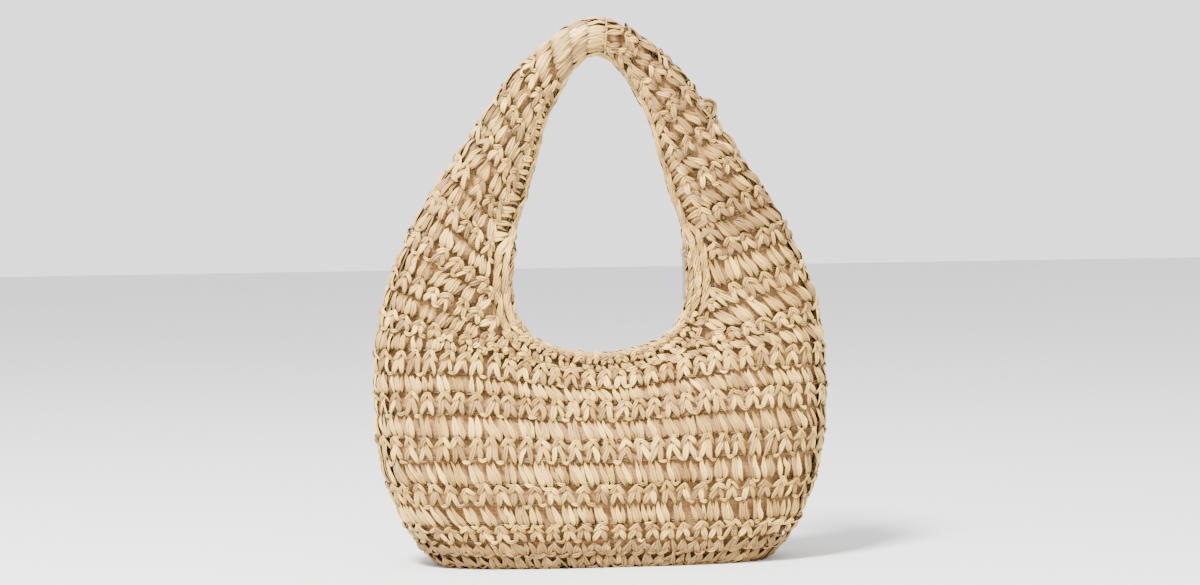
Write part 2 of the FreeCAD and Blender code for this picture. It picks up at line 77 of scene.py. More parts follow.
class Value:
    """A shader socket that takes part in Python expressions."""

    def __init__(self, paint: "Paint", socket: bpy.types.NodeSocket) -> None:
        """Wraps one output socket of a paint's node tree."""
        self.paint = paint
        self.socket = socket

    def _with(self, operation: str, first: object, second: object) -> "Value":
        """Adds a Math node on two terms."""
        settings = {"operation": operation}
        return self.paint.node("ShaderNodeMath", settings, {0: first, 1: second})

    def __add__(self, other: object) -> "Value":
        """Sum."""
        return self._with("ADD", self, other)

    def __radd__(self, other: object) -> "Value":
        """Sum with a number on the left."""
        return self._with("ADD", other, self)

    def __sub__(self, other: object) -> "Value":
        """Difference."""
        return self._with("SUBTRACT", self, other)

    def __rsub__(self, other: object) -> "Value":
        """Difference from a number."""
        return self._with("SUBTRACT", other, self)

    def __mul__(self, other: object) -> "Value":
        """Product."""
        return self._with("MULTIPLY", self, other)

    def __rmul__(self, other: object) -> "Value":
        """Product with a number on the left."""
        return self._with("MULTIPLY", other, self)

    def clamped(self, low: float, high: float) -> "Value":
        """The value moved from low..high to 0..1, and held there."""
        settings = {"clamp": True}
        inputs = {"Value": self, "From Min": low, "From Max": high}
        return self.paint.node("ShaderNodeMapRange", settings, inputs)


class Paint:
    """The node tree of one material."""

    def __init__(self, name: str) -> None:
        """Starts a material with a Principled shader."""
        self.material = bpy.data.materials.new(name)
        self.material.use_nodes = True
        self.tree = self.material.node_tree
        self.shader = next(n for n in self.tree.nodes if n.type == "BSDF_PRINCIPLED")

    def node(self, kind: str, settings: dict, inputs: dict, output: int | str = 0) -> Value:
        """Adds a node.

        Args:
            kind: The node's type.
            settings: Its properties; a ramp's stops go under "stops".
            inputs: Values or links of its sockets, by name or number.
            output: The output socket that is wanted.

        Returns:
            The wanted output.
        """
        made = self.tree.nodes.new(kind)
        for name, value in settings.items():
            if name == "stops":
                self._set_stops(made.color_ramp, value)
            else:
                setattr(made, name, value)
        for name, value in inputs.items():
            self._feed(made.inputs[name], value)
        return Value(self, made.outputs[output])

    def _set_stops(self, ramp: bpy.types.ColorRamp, stops: list) -> None:
        """Gives a ramp its stops."""
        while len(ramp.elements) < len(stops):
            ramp.elements.new(1.0)
        for element, (place, colour) in zip(ramp.elements, stops):
            element.position = place
            element.color = colour

    def _feed(self, socket: bpy.types.NodeSocket, value: object) -> None:
        """Links a socket, or sets its value."""
        if isinstance(value, Value):
            self.tree.links.new(value.socket, socket)
        else:
            socket.default_value = value

    def ramp(self, factor: Value, *stops: tuple[float, Colour]) -> Value:
        """Colour ramp over a value."""
        return self.node("ShaderNodeValToRGB", {"stops": list(stops)}, {"Fac": factor})

    def mixed(self, factor: object, low: object, high: object) -> Value:
        """Mix of two colours."""
        return self.node("ShaderNodeMix", {"data_type": "RGBA"}, {0: factor, 6: low, 7: high}, 2)

    def places(self) -> Value:
        """Object coordinates."""
        return self.node("ShaderNodeTexCoord", {}, {}, "Object")

    def mapped(self, source: Value, scale: tuple[float, float, float]) -> Value:
        """Coordinates scaled on each axis."""
        return self.node("ShaderNodeMapping", {}, {"Vector": source, "Scale": scale})

    def noise(self, source: Value, scale: float, detail: float = 2.0) -> Value:
        """Noise from 0 to 1."""
        inputs = {"Vector": source, "Scale": scale, "Detail": detail}
        return self.node("ShaderNodeTexNoise", {}, inputs)

    def bands(self, source: Value, direction: str, scale: float, distortion: float) -> Value:
        """Wavy bands from 0 to 1."""
        settings = {"wave_type": "BANDS", "bands_direction": direction}
        inputs = {"Vector": source, "Scale": scale, "Distortion": distortion}
        return self.node("ShaderNodeTexWave", settings, inputs)

    def bump(self, height: Value, strength: float, distance: float) -> Value:
        """Normal from a height."""
        inputs = {"Height": height, "Strength": strength, "Distance": distance}
        return self.node("ShaderNodeBump", {}, inputs)

    def finish(self, **inputs: object) -> bpy.types.Material:
        """Feeds the shader's sockets, with _ for a space, and gives the material."""
        for name, value in inputs.items():
            self._feed(self.shader.inputs[name.replace("_", " ")], value)
        return self.material


# ------------------------------------------------------------------------------------- finishes
@dataclass(frozen=True)
class StrawFinish:
    """Matt paper straw with fibres along each ribbon and a tint of its own, with painted shade: the shade
    attribute darkens folds, edges, tips and sunk ribbons.
    """

    name: str = "paper_straw"
    dark: Colour = srgb(142, 108, 54)
    middle: Colour = srgb(198, 158, 78)
    light: Colour = srgb(246, 206, 112)
    # Colour of the painted shade in folds, at edges and tips, and under the stitches above.
    fold: Colour = srgb(72, 48, 20)
    fibre: Colour = srgb(158, 112, 54)
    rough: float = 0.58

    def material(self) -> bpy.types.Material:
        """Builds the material."""
        paint = Paint(self.name)
        tint = paint.node("ShaderNodeAttribute", {"attribute_name": "tint"}, {}, "Fac")
        shade = paint.node("ShaderNodeAttribute", {"attribute_name": "shade"}, {}, "Fac")
        course = paint.node("ShaderNodeUVMap", {"uv_map": "course"}, {})
        fibres = paint.noise(paint.mapped(course, (0.12, 3.2, 1.0)), 1.0, 3.0)
        cloud = paint.noise(paint.places(), 60.0)
        level = tint + (cloud - 0.5) * 0.4
        base = paint.ramp(level, (0.15, self.dark), (0.5, self.middle), (0.85, self.light))
        streaked = paint.mixed(fibres.clamped(0.50, 0.32) * 0.45, base, self.fibre)
        # Painted shade: the shade attribute, broken up by the fibres, mixes the colour towards the fold
        # colour.
        folded = (shade + (fibres - 0.5) * 0.5).clamped(0.18, 0.90) * 0.94
        colour = paint.mixed(folded, streaked, self.fold)
        rough = self.rough + (fibres - 0.5) * 0.25
        normal = paint.bump(fibres, 0.4, 0.0004)
        return paint.finish(Base_Color=colour, Roughness=rough, Normal=normal)


@dataclass(frozen=True)
class ClothFinish:
    """Plain woven cloth; its weave's wave turns by one radian over a length."""

    name: str = "lining_cloth"
    warp: Colour = srgb(170, 126, 74)
    weft: Colour = srgb(146, 104, 58)
    radian: float = 0.45 * MM
    rough: float = 0.85

    def material(self) -> bpy.types.Material:
        """Builds the material."""
        paint = Paint(self.name)
        places = paint.places()
        scale = 1.0 / self.radian / WAVE_RADIANS
        weave = paint.bands(places, "X", scale, 0.6) * paint.bands(places, "Z", scale, 0.6)
        cloud = paint.noise(places, 18.0)
        colour = paint.mixed(weave + (cloud - 0.5) * 0.6, self.weft, self.warp)
        normal = paint.bump(weave, 0.25, 0.0003)
        return paint.finish(Base_Color=colour, Roughness=self.rough, Normal=normal)


@dataclass(frozen=True)
class MetalFinish:
    """Bright plated metal with faint brushing."""

    name: str = "bright_metal"
    colour: Colour = srgb(214, 212, 206)
    worn: Colour = srgb(180, 176, 168)
    rough: float = 0.22

    def material(self) -> bpy.types.Material:
        """Builds the material."""
        paint = Paint(self.name)
        places = paint.places()
        brushing = paint.noise(paint.mapped(places, (2600.0, 2600.0, 160.0)), 1.0)
        wear = paint.noise(places, 220.0).clamped(0.48, 0.75)
        colour = paint.mixed(wear * 0.5, self.colour, self.worn)
        rough = self.rough + (brushing - 0.5) * 0.18 + wear * 0.1
        return paint.finish(
            Base_Color=colour, Roughness=rough, Metallic=1.0, Normal=paint.bump(brushing, 0.05, 0.0001)
        )


@dataclass(frozen=True)
class BoardFinish:
    """Pressed stiffener board."""

    name: str = "stiffener_board"
    pale: Colour = srgb(206, 186, 152)
    dark: Colour = srgb(168, 146, 112)

    def material(self) -> bpy.types.Material:
        """Builds the material."""
        paint = Paint(self.name)
        places = paint.places()
        flecks = paint.noise(places, 900.0, 4.0)
        colour = paint.ramp(flecks, (0.35, self.dark), (0.65, self.pale))
        return paint.finish(Base_Color=colour, Roughness=0.8, Normal=paint.bump(flecks, 0.2, 0.0003))


@dataclass(frozen=True)
class TapeFinish:
    """Herringbone zip tape."""

    name: str = "zip_tape_weave"
    light: Colour = srgb(232, 214, 184)
    dark: Colour = srgb(204, 182, 148)

    def material(self) -> bpy.types.Material:
        """Builds the material."""
        paint = Paint(self.name)
        places = paint.places()
        ribs = paint.bands(places, "DIAGONAL", 90.0, 0.4)
        colour = paint.mixed(ribs, self.dark, self.light)
        return paint.finish(Base_Color=colour, Roughness=0.8, Normal=paint.bump(ribs, 0.3, 0.0003))


@dataclass(frozen=True)
class TeethFinish:
    """Moulded zip teeth."""

    name: str = "zip_teeth_moulded"
    light: Colour = srgb(236, 222, 196)
    dark: Colour = srgb(216, 198, 166)

    def material(self) -> bpy.types.Material:
        """Builds the material."""
        paint = Paint(self.name)
        grain = paint.noise(paint.places(), 700.0)
        colour = paint.mixed(grain, self.dark, self.light)
        return paint.finish(Base_Color=colour, Roughness=0.35 + grain * 0.15)


@dataclass(frozen=True)
class FloorFinish:
    """Plain pale floor."""

    name: str = "studio_floor"
    light: Colour = (0.66, 0.66, 0.66, 1.0)
    soft: Colour = (0.59, 0.59, 0.59, 1.0)

    def material(self) -> bpy.types.Material:
        """Builds the material."""
        paint = Paint(self.name)
        cloud = paint.noise(paint.places(), 0.8)
        return paint.finish(Base_Color=paint.mixed(cloud, self.soft, self.light), Roughness=0.9)


# ---------------------------------------------------------------------------------- curves
def curve_through(values: np.ndarray, knots: np.ndarray, heights: np.ndarray, level: bool) -> np.ndarray:
    """Cubic curve through heights at knots.

    Args:
        values: Where the curve is read.
        knots: Rising places of the given heights.
        heights: The heights; a second axis holds several curves.
        level: Whether the curve is level at both ends.

    Returns:
        The height at each value.
    """
    slopes = np.gradient(heights, knots, axis=0)
    if level:
        slopes[0] = slopes[-1] = 0.0
    values = np.clip(values, knots[0], knots[-1])
    low = np.clip(np.searchsorted(knots, values) - 1, 0, len(knots) - 2)
    span = knots[low + 1] - knots[low]
    part = (values - knots[low]) / span
    if heights.ndim > 1:
        span, part = span[..., None], part[..., None]
    stay = 2 * part**3 - 3 * part**2 + 1
    leave = part**3 - 2 * part**2 + part
    arrive = part**3 - part**2
    ends = stay * heights[low] + (1 - stay) * heights[low + 1]
    return ends + span * (leave * slopes[low] + arrive * slopes[low + 1])


def ease(values: np.ndarray, low: float, high: float) -> np.ndarray:
    """Smooth step.

    Args:
        values: Where the step is read.
        low: Where it leaves 0.
        high: Where it reaches 1.

    Returns:
        The step at each value.
    """
    part = np.clip((np.asarray(values, float) - low) / (high - low), 0.0, 1.0)
    return part * part * (3 - 2 * part)


def even_points(points: np.ndarray, count: int) -> np.ndarray:
    """Spaces points evenly along a polyline.

    Args:
        points: The polyline.
        count: How many points are wanted.

    Returns:
        The points, from its first to its last.
    """
    steps = np.linalg.norm(np.diff(points, axis=0), axis=1)
    along = np.concatenate(([0.0], np.cumsum(steps)))
    wanted = np.linspace(0.0, along[-1], count)
    return np.stack([np.interp(wanted, along, points[:, axis]) for axis in range(3)], axis=1)


def unit(vectors: np.ndarray) -> np.ndarray:
    """Vectors at length one."""
    return vectors / np.maximum(np.linalg.norm(vectors, axis=-1, keepdims=True), 1e-12)


def both_faces(x: np.ndarray, y: np.ndarray, z: np.ndarray) -> tuple[np.ndarray, np.ndarray]:
    """Points at a half depth y on the front face, and on the back face."""
    return np.stack([x, -y, z], axis=1), np.stack([x, y, z], axis=1)


def round_both(x: np.ndarray, y: np.ndarray, z: np.ndarray) -> np.ndarray:
    """Points along the front face and back along the back face, which meet at the last point."""
    front, back = both_faces(x, y, z)
    return np.concatenate([front, back[::-1][1:]])


# ------------------------------------------------------------------------------ form of the bag
@dataclass(frozen=True)
class Station:
    """Section of the bag on a plane through the mouth's centre: degrees, then millimetres."""

    angle: float
    inner: float
    outer: float
    deepest: float
    roundness: float


@dataclass
class BagForm:
    """Outer surface of the crochet, as a half depth over the front view."""

    mouth_height: float
    rim_half: float = 14.0 * MM
    rim_share: float = 0.8
    peak_along: float = 0.58
    samples: int = 1441
    closing: tuple[float, float] = (12.0, 26.0)
    stations: tuple[Station, ...] = (
        Station(-90, 65.0, 226.0, 49.5, 14),
        Station(-75, 65.5, 233.0, 49.0, 13),
        Station(-61, 68.5, 244.0, 46.0, 9),
        Station(-45, 72.0, 219.5, 40.0, 7),
        Station(-30, 71.5, 188.6, 32.0, 5),
        Station(-15, 68.0, 166.5, 26.5, 4),
        Station(0, 65.5, 148.7, 22.5, 3.5),
        Station(17, 65.0, 135.7, 19.5, 3),
        Station(30, 68.0, 130.5, 17.0, 3),
        Station(45, 74.5, 132.5, 15.2, 3),
        Station(60, 91.0, 144.5, 13.5, 3),
        Station(75, 123.0, 163.5, 11.5, 3),
        Station(90, 153.0, 180.0, 10.5, 3),
    )
    band_widths: tuple[tuple[float, float], ...] = (
        (-90, 11), (-60, 12), (-30, 13.5), (17, 12.5), (45, 9), (70, 6), (90, 5),
    )

    def __post_init__(self) -> None:
        """Tabulates the outline and the edging's outer line from straight down to straight up."""
        turns = np.linspace(-90.0, 90.0, self.samples)
        inner, outer, _, _ = self.spread(turns)
        self.outline = np.stack(self.place(turns, outer), axis=1)
        self.edging = np.stack(self.place(turns, inner + self.band(turns)), axis=1)

    def band(self, angle: np.ndarray) -> np.ndarray:
        """Width of the edging at an angle above level."""
        knots = np.array([item[0] for item in self.band_widths], float)
        widths = np.array([item[1] for item in self.band_widths], float) * MM
        return curve_through(angle, knots, widths, level=True)

    def spread(self, angle: np.ndarray) -> tuple[np.ndarray, ...]:
        """Section sizes on one side of the mouth.

        Args:
            angle: Degrees above level.

        Returns:
            Inner radius, outer radius, greatest half depth and edge roundness.
        """
        knots = np.array([item.angle for item in self.stations], float)
        columns = []
        for name, scale in (("inner", MM), ("outer", MM), ("deepest", MM), ("roundness", 1.0)):
            heights = np.array([getattr(item, name) for item in self.stations], float) * scale
            columns.append(curve_through(angle, knots, heights, level=True))
        return tuple(columns)

    def half_depth(self, x: np.ndarray, z: np.ndarray, inset: float = 0.0) -> np.ndarray:
        """Half of the bag's depth.

        Args:
            x: Place across, in the front view.
            z: Height in the front view.
            inset: How far inside the outer surface the depth is taken.

        Returns:
            The half depth at each place, 0 outside the bag.
        """
        rise = np.asarray(z, float) - self.mouth_height
        angle = np.degrees(np.arctan2(rise, np.abs(x)))
        inner, outer, deepest, roundness = self.spread(angle)
        closed = ease(angle, *self.closing)
        near = inner + inset * closed
        along = np.clip((np.hypot(x, rise) - near) / (outer - inset - near), 0.0, 1.0)
        part = np.minimum(along / self.peak_along, 1.0)
        rim = np.minimum(self.rim_half, self.rim_share * deepest) - inset
        # Leaves the rim at a slope of 0.75 and comes level at the peak.
        belly = 0.75 * part + 1.5 * part**2 - 1.25 * part**3
        height = (rim + (deepest - inset - rim) * belly) * np.sqrt(1 - along**roundness)
        return height * np.sqrt(1 - closed * (1 - along) ** roundness)

    def outline_x(self, height: float) -> float:
        """Half width of the front view at a height."""
        return float(np.interp(height, self.outline[:, 1], self.outline[:, 0]))

    def ring(self, turn: np.ndarray) -> tuple[np.ndarray, ...]:
        """Section sizes at turns that run right round the mouth.

        Args:
            turn: Degrees, 0 at the right and 90 on top.

        Returns:
            Inner radius, outer radius, width of the edging and how closed the section is.
        """
        wrapped = (np.asarray(turn, float) + 90.0) % 360.0 - 90.0
        folded = np.where(wrapped > 90.0, 180.0 - wrapped, wrapped)
        inner, outer, _, _ = self.spread(folded)
        return inner, outer, self.band(folded), ease(folded, *self.closing)

    def place(self, turn: np.ndarray, radius: np.ndarray) -> tuple[np.ndarray, np.ndarray]:
        """Front-view place at a turn and radius about the mouth's centre."""
        bend = np.radians(turn)
        return radius * np.cos(bend), self.mouth_height + radius * np.sin(bend)

    def section(self, turn: float, samples: int, inset: float = 0.0) -> np.ndarray:
        """Closed line round the strap at one turn.

        Args:
            turn: Degrees, 0 at the right and 90 on top.
            samples: Points on each face.
            inset: How far inside the outer surface the line is.

        Returns:
            Points over the front face and back to the first over the back face.
        """
        inner, outer, _, _ = self.ring(np.array([turn]))
        near, far = inner + inset, outer - inset
        swing = np.linspace(0.0, math.pi, samples)
        radius = (near + far) / 2 - (far - near) / 2 * np.cos(swing)
        x, z = self.place(np.full(samples, turn), radius)
        y = self.half_depth(x, z, inset)
        y[0] = y[-1] = 0.0
        return round_both(x, y, z)


# --------------------------------------------------------------------------- lines of the rows
@dataclass
class Strip:
    """Band of surface between level lines, whose outer side is along cross up.

    Its normals are taken over a step along and up, away from its ends and its edges.
    """

    loops: np.ndarray
    closed: bool
    step: tuple[float, float] = (0.006, 0.12)
    clear: tuple[float, float] = (0.01, 0.13)

    def point(self, along: np.ndarray, up: np.ndarray) -> np.ndarray:
        """Points of the strip.

        Args:
            along: Shares of its length; on a closed strip they run on round it.
            up: Shares of its height, which may run a little past it.

        Returns:
            The point at each pair of shares.
        """
        rows, count = self.loops.shape[:2]
        place = along * (count - 1)
        if self.closed:
            place = place % (count - 1)
        column = np.clip(np.floor(place).astype(int), 0, count - 2)
        part = (place - column)[..., None]
        level = up * (rows - 1)
        row = np.clip(np.floor(level).astype(int), 0, rows - 2)
        lift = (level - row)[..., None]
        low = self.loops[row, column] * (1 - part) + self.loops[row, column + 1] * part
        high = self.loops[row + 1, column] * (1 - part) + self.loops[row + 1, column + 1] * part
        return low * (1 - lift) + high * lift

    def outward(self, along: np.ndarray, up: np.ndarray) -> np.ndarray:
        """Unit normals of the strip at shares along and up it."""
        up = np.clip(up, self.clear[1], 1 - self.clear[1])
        if not self.closed:
            along = np.clip(along, self.clear[0], 1 - self.clear[0])
        ahead, above = self.step
        across = self.point(along + ahead, up) - self.point(along - ahead, up)
        upward = self.point(along, up + above) - self.point(along, up - above)
        return unit(np.cross(across, upward))

    def length(self) -> float:
        """Length of the strip's middle line."""
        return float(np.linalg.norm(np.diff(self.loops.mean(axis=0), axis=0), axis=1).sum())


@dataclass
class RowLines:
    """Level lines of the crochet, on the bag's form.

    The lines dip under the mouth by an amount that grows with their height, both in millimetres.
    The marks pair a share of an arm's outline with the share of its edging that the line meets.
    """

    form: BagForm
    dip_half: float = 125.0 * MM
    dip_fade: float = 10.0
    dips: tuple[tuple[float, float], ...] = (
        (20, 0), (46, 0.5), (60, 1.5), (78, 2.5), (95, 4.5), (111, 6.5), (127, 9.5), (140, 13), (156, 18),
    )
    inner_marks: dict[bool, tuple[tuple[float, float], ...]] = field(default_factory=lambda: {
        False: ((0, 0), (0.053, 0.18), (0.263, 0.43), (1, 1)),
        True: ((0, 0), (0.059, 0.16), (0.24, 0.36), (1, 1)),
    })
    right_end: float = 5.0 * MM
    left_end: float = -33.0 * MM
    samples: int = 481
    lead_samples: int = 24

    def round_line(self, height: float) -> np.ndarray:
        """Closed line round the bag, from its left edge over the front, that dips under the mouth."""
        half = self.form.outline_x(height)
        x = -half * np.cos(np.linspace(0.0, math.pi, self.samples))
        knots = np.array(self.dips) * MM
        dip = np.interp(height, knots[:, 0], knots[:, 1])
        z = height - dip * np.cos(np.clip(x / self.dip_half, -1, 1) * math.pi / 2) ** 2
        y = self.form.half_depth(x, z)
        y[0] = y[-1] = 0.0
        return even_points(round_both(x, y, z), 2 * self.samples)

    def round_strip(self, low: float, high: float) -> Strip:
        """Strip between two heights."""
        return Strip(np.stack([self.round_line(low), self.round_line(high)]), True)

    def arm_sides(self, start: float, left: bool) -> tuple[np.ndarray, np.ndarray]:
        """An arm's side lines, from its first row to the strap's join.

        Args:
            start: Height of the arm's first line at the outline.
            left: Whether it is the left arm.

        Returns:
            The edging's outer line and the outline, in the front view of the right side.
        """
        end = abs(self.left_end) if left else self.right_end
        outline = self.form.outline[np.searchsorted(self.form.outline[:, 1], start):]
        edging = self.form.edging
        last = np.argmax((edging[:, 0] < end) & (edging[:, 1] > start))
        return edging[: last + 1], outline[: np.argmax(outline[:, 0] < end) + 1]

    def arm_line(self, share: float, start: float, left: bool, since: float | None = None) -> np.ndarray:
        """Open line round an arm, from the edging on one face to the edging on the other.

        Args:
            share: How far up the outline the line is, from 0 to 1.
            start: Height of the arm's first line at the outline.
            left: Whether it is the left arm.
            since: Share of the line below; the line then runs up the edging from that line's end.

        Returns:
            Evenly spaced points of the line.
        """
        edging, outline = self.arm_sides(start, left)
        marks = np.array(self.inner_marks[left])
        inner = self._at(edging, np.interp(share, marks[:, 0], marks[:, 1]))
        outer = self._at(outline, share)
        swing = np.sin(np.linspace(0.0, math.pi / 2, self.samples))
        x = inner[0] + (outer[0] - inner[0]) * swing
        z = inner[1] + (outer[1] - inner[1]) * swing
        curl = np.cos(np.clip(x / self.dip_half, 0, 1) * math.pi / 2) ** 2
        drop = (curl - curl[0] - (curl[-1] - curl[0]) * swing) * self.dips[-1][1] * MM
        z = z - drop * max(0.0, 1.0 - share * self.dip_fade)
        if since is not None:
            between = np.interp(np.linspace(since, share, self.lead_samples)[:-1], marks[:, 0], marks[:, 1])
            lead = np.array([self._at(edging, mark) for mark in between])
            x, z = np.concatenate([lead[:, 0], x]), np.concatenate([lead[:, 1], z])
            if lead[-1, 0] < lead[0, 0]:
                x, z = x[len(lead):], z[len(lead):]
        y = self.form.half_depth(x, z)
        y[-1] = 0.0
        line = round_both(-x, -y, z) if left else round_both(x, y, z)
        return even_points(line, 2 * self.samples)

    def _at(self, line: np.ndarray, share: float) -> np.ndarray:
        """Point at a share of a line's length."""
        along = np.concatenate(([0.0], np.cumsum(np.linalg.norm(np.diff(line, axis=0), axis=1))))
        return np.array([np.interp(share * along[-1], along, line[:, axis]) for axis in (0, 1)])

    def arm_strip(self, low: float, high: float, start: float, left: bool) -> Strip:
        """Strip between two lines of an arm."""
        lower = self.arm_line(low, start, left)
        upper = self.arm_line(high, start, left, since=low)
        return Strip(np.stack([lower, upper]), False)


# --------------------------------------------------------------------------------- workbench
class Bench:
    """Modelling steps that several pieces use."""

    @staticmethod
    def clear() -> None:
        """Leaves nothing selected."""
        bpy.ops.object.select_all(action="DESELECT")

    @staticmethod
    def take(piece: bpy.types.Object) -> None:
        """Selects one piece alone and makes it active."""
        Bench.clear()
        piece.select_set(True)
        bpy.context.view_layer.objects.active = piece

    @staticmethod
    def linked(name: str, data: bpy.types.ID) -> bpy.types.Object:
        """Puts a new object in the scene.

        Args:
            name: The object's name.
            data: Its mesh, camera or light.

        Returns:
            The object.
        """
        made = bpy.data.objects.new(name, data)
        bpy.context.scene.collection.objects.link(made)
        return made

    @staticmethod
    def pick(piece: bpy.types.Object, test: Callable[[Vector], bool]) -> None:
        """In edit mode, selects some vertices and nothing else.

        Args:
            piece: The piece in edit mode.
            test: Says of a vertex's place whether it is selected.
        """
        bpy.ops.mesh.select_all(action="DESELECT")
        made = bmesh.from_edit_mesh(piece.data)
        for vertex in made.verts:
            vertex.select_set(test(vertex.co))
        made.select_flush(True)
        bmesh.update_edit_mesh(piece.data)

    @staticmethod
    def settle(piece: bpy.types.Object) -> None:
        """Back to object mode, with the piece's place in its mesh."""
        if bpy.context.mode != "OBJECT":
            bpy.ops.object.mode_set(mode="OBJECT")
        Bench.take(piece)
        bpy.ops.object.transform_apply(location=True, rotation=True, scale=True)

    @staticmethod
    def modify(piece: bpy.types.Object, kind: str, **settings: object) -> None:
        """Adds a modifier and applies it.

        Args:
            piece: The piece that is changed.
            kind: The modifier's type.
            **settings: The modifier's properties.
        """
        Bench.take(piece)
        modifier = piece.modifiers.new(kind.title(), kind)
        for name, value in settings.items():
            setattr(modifier, name, value)
        bpy.ops.object.modifier_apply(modifier=modifier.name)

    @staticmethod
    def smooth(piece: bpy.types.Object, degrees: float) -> None:
        """Smooth shading up to an edge angle."""
        Bench.take(piece)
        bpy.ops.object.shade_smooth_by_angle(angle=math.radians(degrees))

    @staticmethod
    def dress(piece: bpy.types.Object, material: bpy.types.Material, slot: str) -> None:
        """Gives a piece its material."""
        piece.data.materials.clear()
        piece.data.materials.append(material)

    @staticmethod
    def surface(name: str, grid: np.ndarray, closed: bool) -> bpy.types.Object:
        """Sheet of quads over a grid of points.

        Args:
            name: The piece's name.
            grid: Points by row and column.
            closed: Whether the last column joins the first.

        Returns:
            The piece.
        """
        rows, columns = grid.shape[:2]
        mesh = bpy.data.meshes.new(name)
        last = columns if closed else columns - 1
        faces = []
        for row in range(rows - 1):
            for column in range(last):
                beside = (column + 1) % columns
                low, high = row * columns, (row + 1) * columns
                faces.append((low + column, low + beside, high + beside, high + column))
        mesh.from_pydata(grid.reshape(-1, 3).tolist(), [], faces)
        mesh.update()
        LOG.info("%s: %d faces", name, len(faces))
        return Bench.linked(name, mesh)


# ------------------------------------------------------------------------------ straw ribbons
@dataclass
class RibbonBlank:
    """Straw ribbon folded along its middle, one unit long, which every stitch is bent from.

    Its section is a ring of six corners: the fold on top, a ridge and an edge on each side, and the
    belly below. The tips are narrower and thinner by two shares. Painted shades run from 0, bright, to 1.
    """

    spans: int = 8
    ridge: tuple[float, float] = (0.52, 0.62)
    fold: float = 0.16
    belly: float = 0.5
    tip: tuple[float, float] = (0.35, 0.7)
    fold_shade: float = 0.55
    edge_shade: float = 0.8
    tip_shade: float = 0.6

    def model(self) -> None:
        """Models the blank and keeps its shape."""
        Bench.clear()
        bpy.ops.mesh.primitive_circle_add(vertices=6, radius=1.0, fill_type="NGON")
        piece = bpy.context.active_object
        bpy.ops.object.mode_set(mode="EDIT")
        self._turn_up(piece)
        self._fold_profile(piece)
        bpy.ops.mesh.select_all(action="SELECT")
        for _ in range(self.spans):
            step = {"value": (1.0 / self.spans, 0.0, 0.0)}
            bpy.ops.mesh.extrude_region_move(TRANSFORM_OT_translate=step)
        for end in (0.0, 1.0):
            Bench.pick(piece, lambda place, end=end: abs(place.x - end) < 1e-4)
            bpy.ops.transform.resize(value=(1.0, *self.tip), center_override=(end, 0.0, 0.0))
        bpy.ops.mesh.select_all(action="SELECT")
        bpy.ops.mesh.normals_make_consistent(inside=False)
        Bench.settle(piece)
        mesh = piece.data
        self.places = np.array([v.co[:] for v in mesh.vertices])
        self.corners = np.array([loop.vertex_index for loop in mesh.loops])
        self.counts = np.array([face.loop_total for face in mesh.polygons])
        self.shades = self._shades()
        bpy.data.objects.remove(piece)
        LOG.info("ribbon blank: %d corners, %d faces", len(self.places), len(self.counts))

    def _shades(self) -> np.ndarray:
        """Painted shade of each corner: ridges are bright, the fold, edges and tips are dark."""
        along, across, up = self.places.T
        ridge = up > 0.6 * self.ridge[1]
        fold = (np.abs(across) < 0.05) & (up > 0)
        sides = np.where(up < -0.2, 1.0, self.edge_shade)
        shade = np.where(ridge, 0.0, np.where(fold, self.fold_shade, sides))
        return np.clip(shade + self.tip_shade * np.abs(2 * along - 1) ** 5, 0.0, 1.0)

    def _turn_up(self, piece: bpy.types.Object) -> None:
        """Stands the ring across the ribbon's length, one corner up."""
        made = bmesh.from_edit_mesh(piece.data)
        turned = Matrix(((0, 0, 1, 0), (1, 0, 0, 0), (0, 1, 0, 0), (0, 0, 0, 1)))
        made.transform(turned)
        bmesh.update_edit_mesh(piece.data)

    def _fold_profile(self, piece: bpy.types.Object) -> None:
        """Moves the ring's corners to a flat ribbon with a fold between two ridges."""
        Bench.pick(piece, lambda place: place.z > 0.9)
        bpy.ops.transform.translate(value=(0.0, 0.0, self.fold - 1.0))
        Bench.pick(piece, lambda place: place.z < -0.9)
        bpy.ops.transform.translate(value=(0.0, 0.0, 1.0 - self.belly))
        side = math.sqrt(0.75)
        Bench.pick(piece, lambda place: place.z > 0.4)
        bpy.ops.transform.resize(value=(1.0, self.ridge[0] / side, 1.0), center_override=(0, 0, 0))
        bpy.ops.transform.translate(value=(0.0, 0.0, self.ridge[1] - 0.5))
        Bench.pick(piece, lambda place: -0.51 < place.z < -0.49 and abs(place.y) > 0.5)
        bpy.ops.transform.resize(value=(1.0, 1.0 / side, 1.0), center_override=(0, 0, 0))
        bpy.ops.transform.translate(value=(0.0, 0.0, 0.5))


@dataclass(frozen=True)
class Ribbon:
    """Course of one ribbon in its stitch.

    Each point is a share of the stitch's pitch, a share of the row's height and a lift in
    millimetres. The widths are in millimetres, and the roll, in degrees, turns an edge outward.
    Often is the share of the stitches that have the ribbon.
    """

    course: tuple[tuple[float, float, float], ...]
    widths: tuple[float, ...]
    roll: float = 0.0
    often: float = 1.0


@dataclass(frozen=True)
class Stitch:
    """Ribbons of one stitch and its pitch in millimetres."""

    pitch: float
    ribbons: tuple[Ribbon, ...]


def mirrored(ribbon: Ribbon) -> Ribbon:
    """The ribbon on the other side of its stitch."""
    course = tuple((-a, up, lift) for a, up, lift in ribbon.course)
    return Ribbon(course, ribbon.widths, -ribbon.roll, ribbon.often)


def moved(ribbon: Ribbon, across: float) -> Ribbon:
    """The ribbon moved along the row by a share of the pitch."""
    course = tuple((a + across, up, lift) for a, up, lift in ribbon.course)
    return Ribbon(course, ribbon.widths, ribbon.roll, ribbon.often)


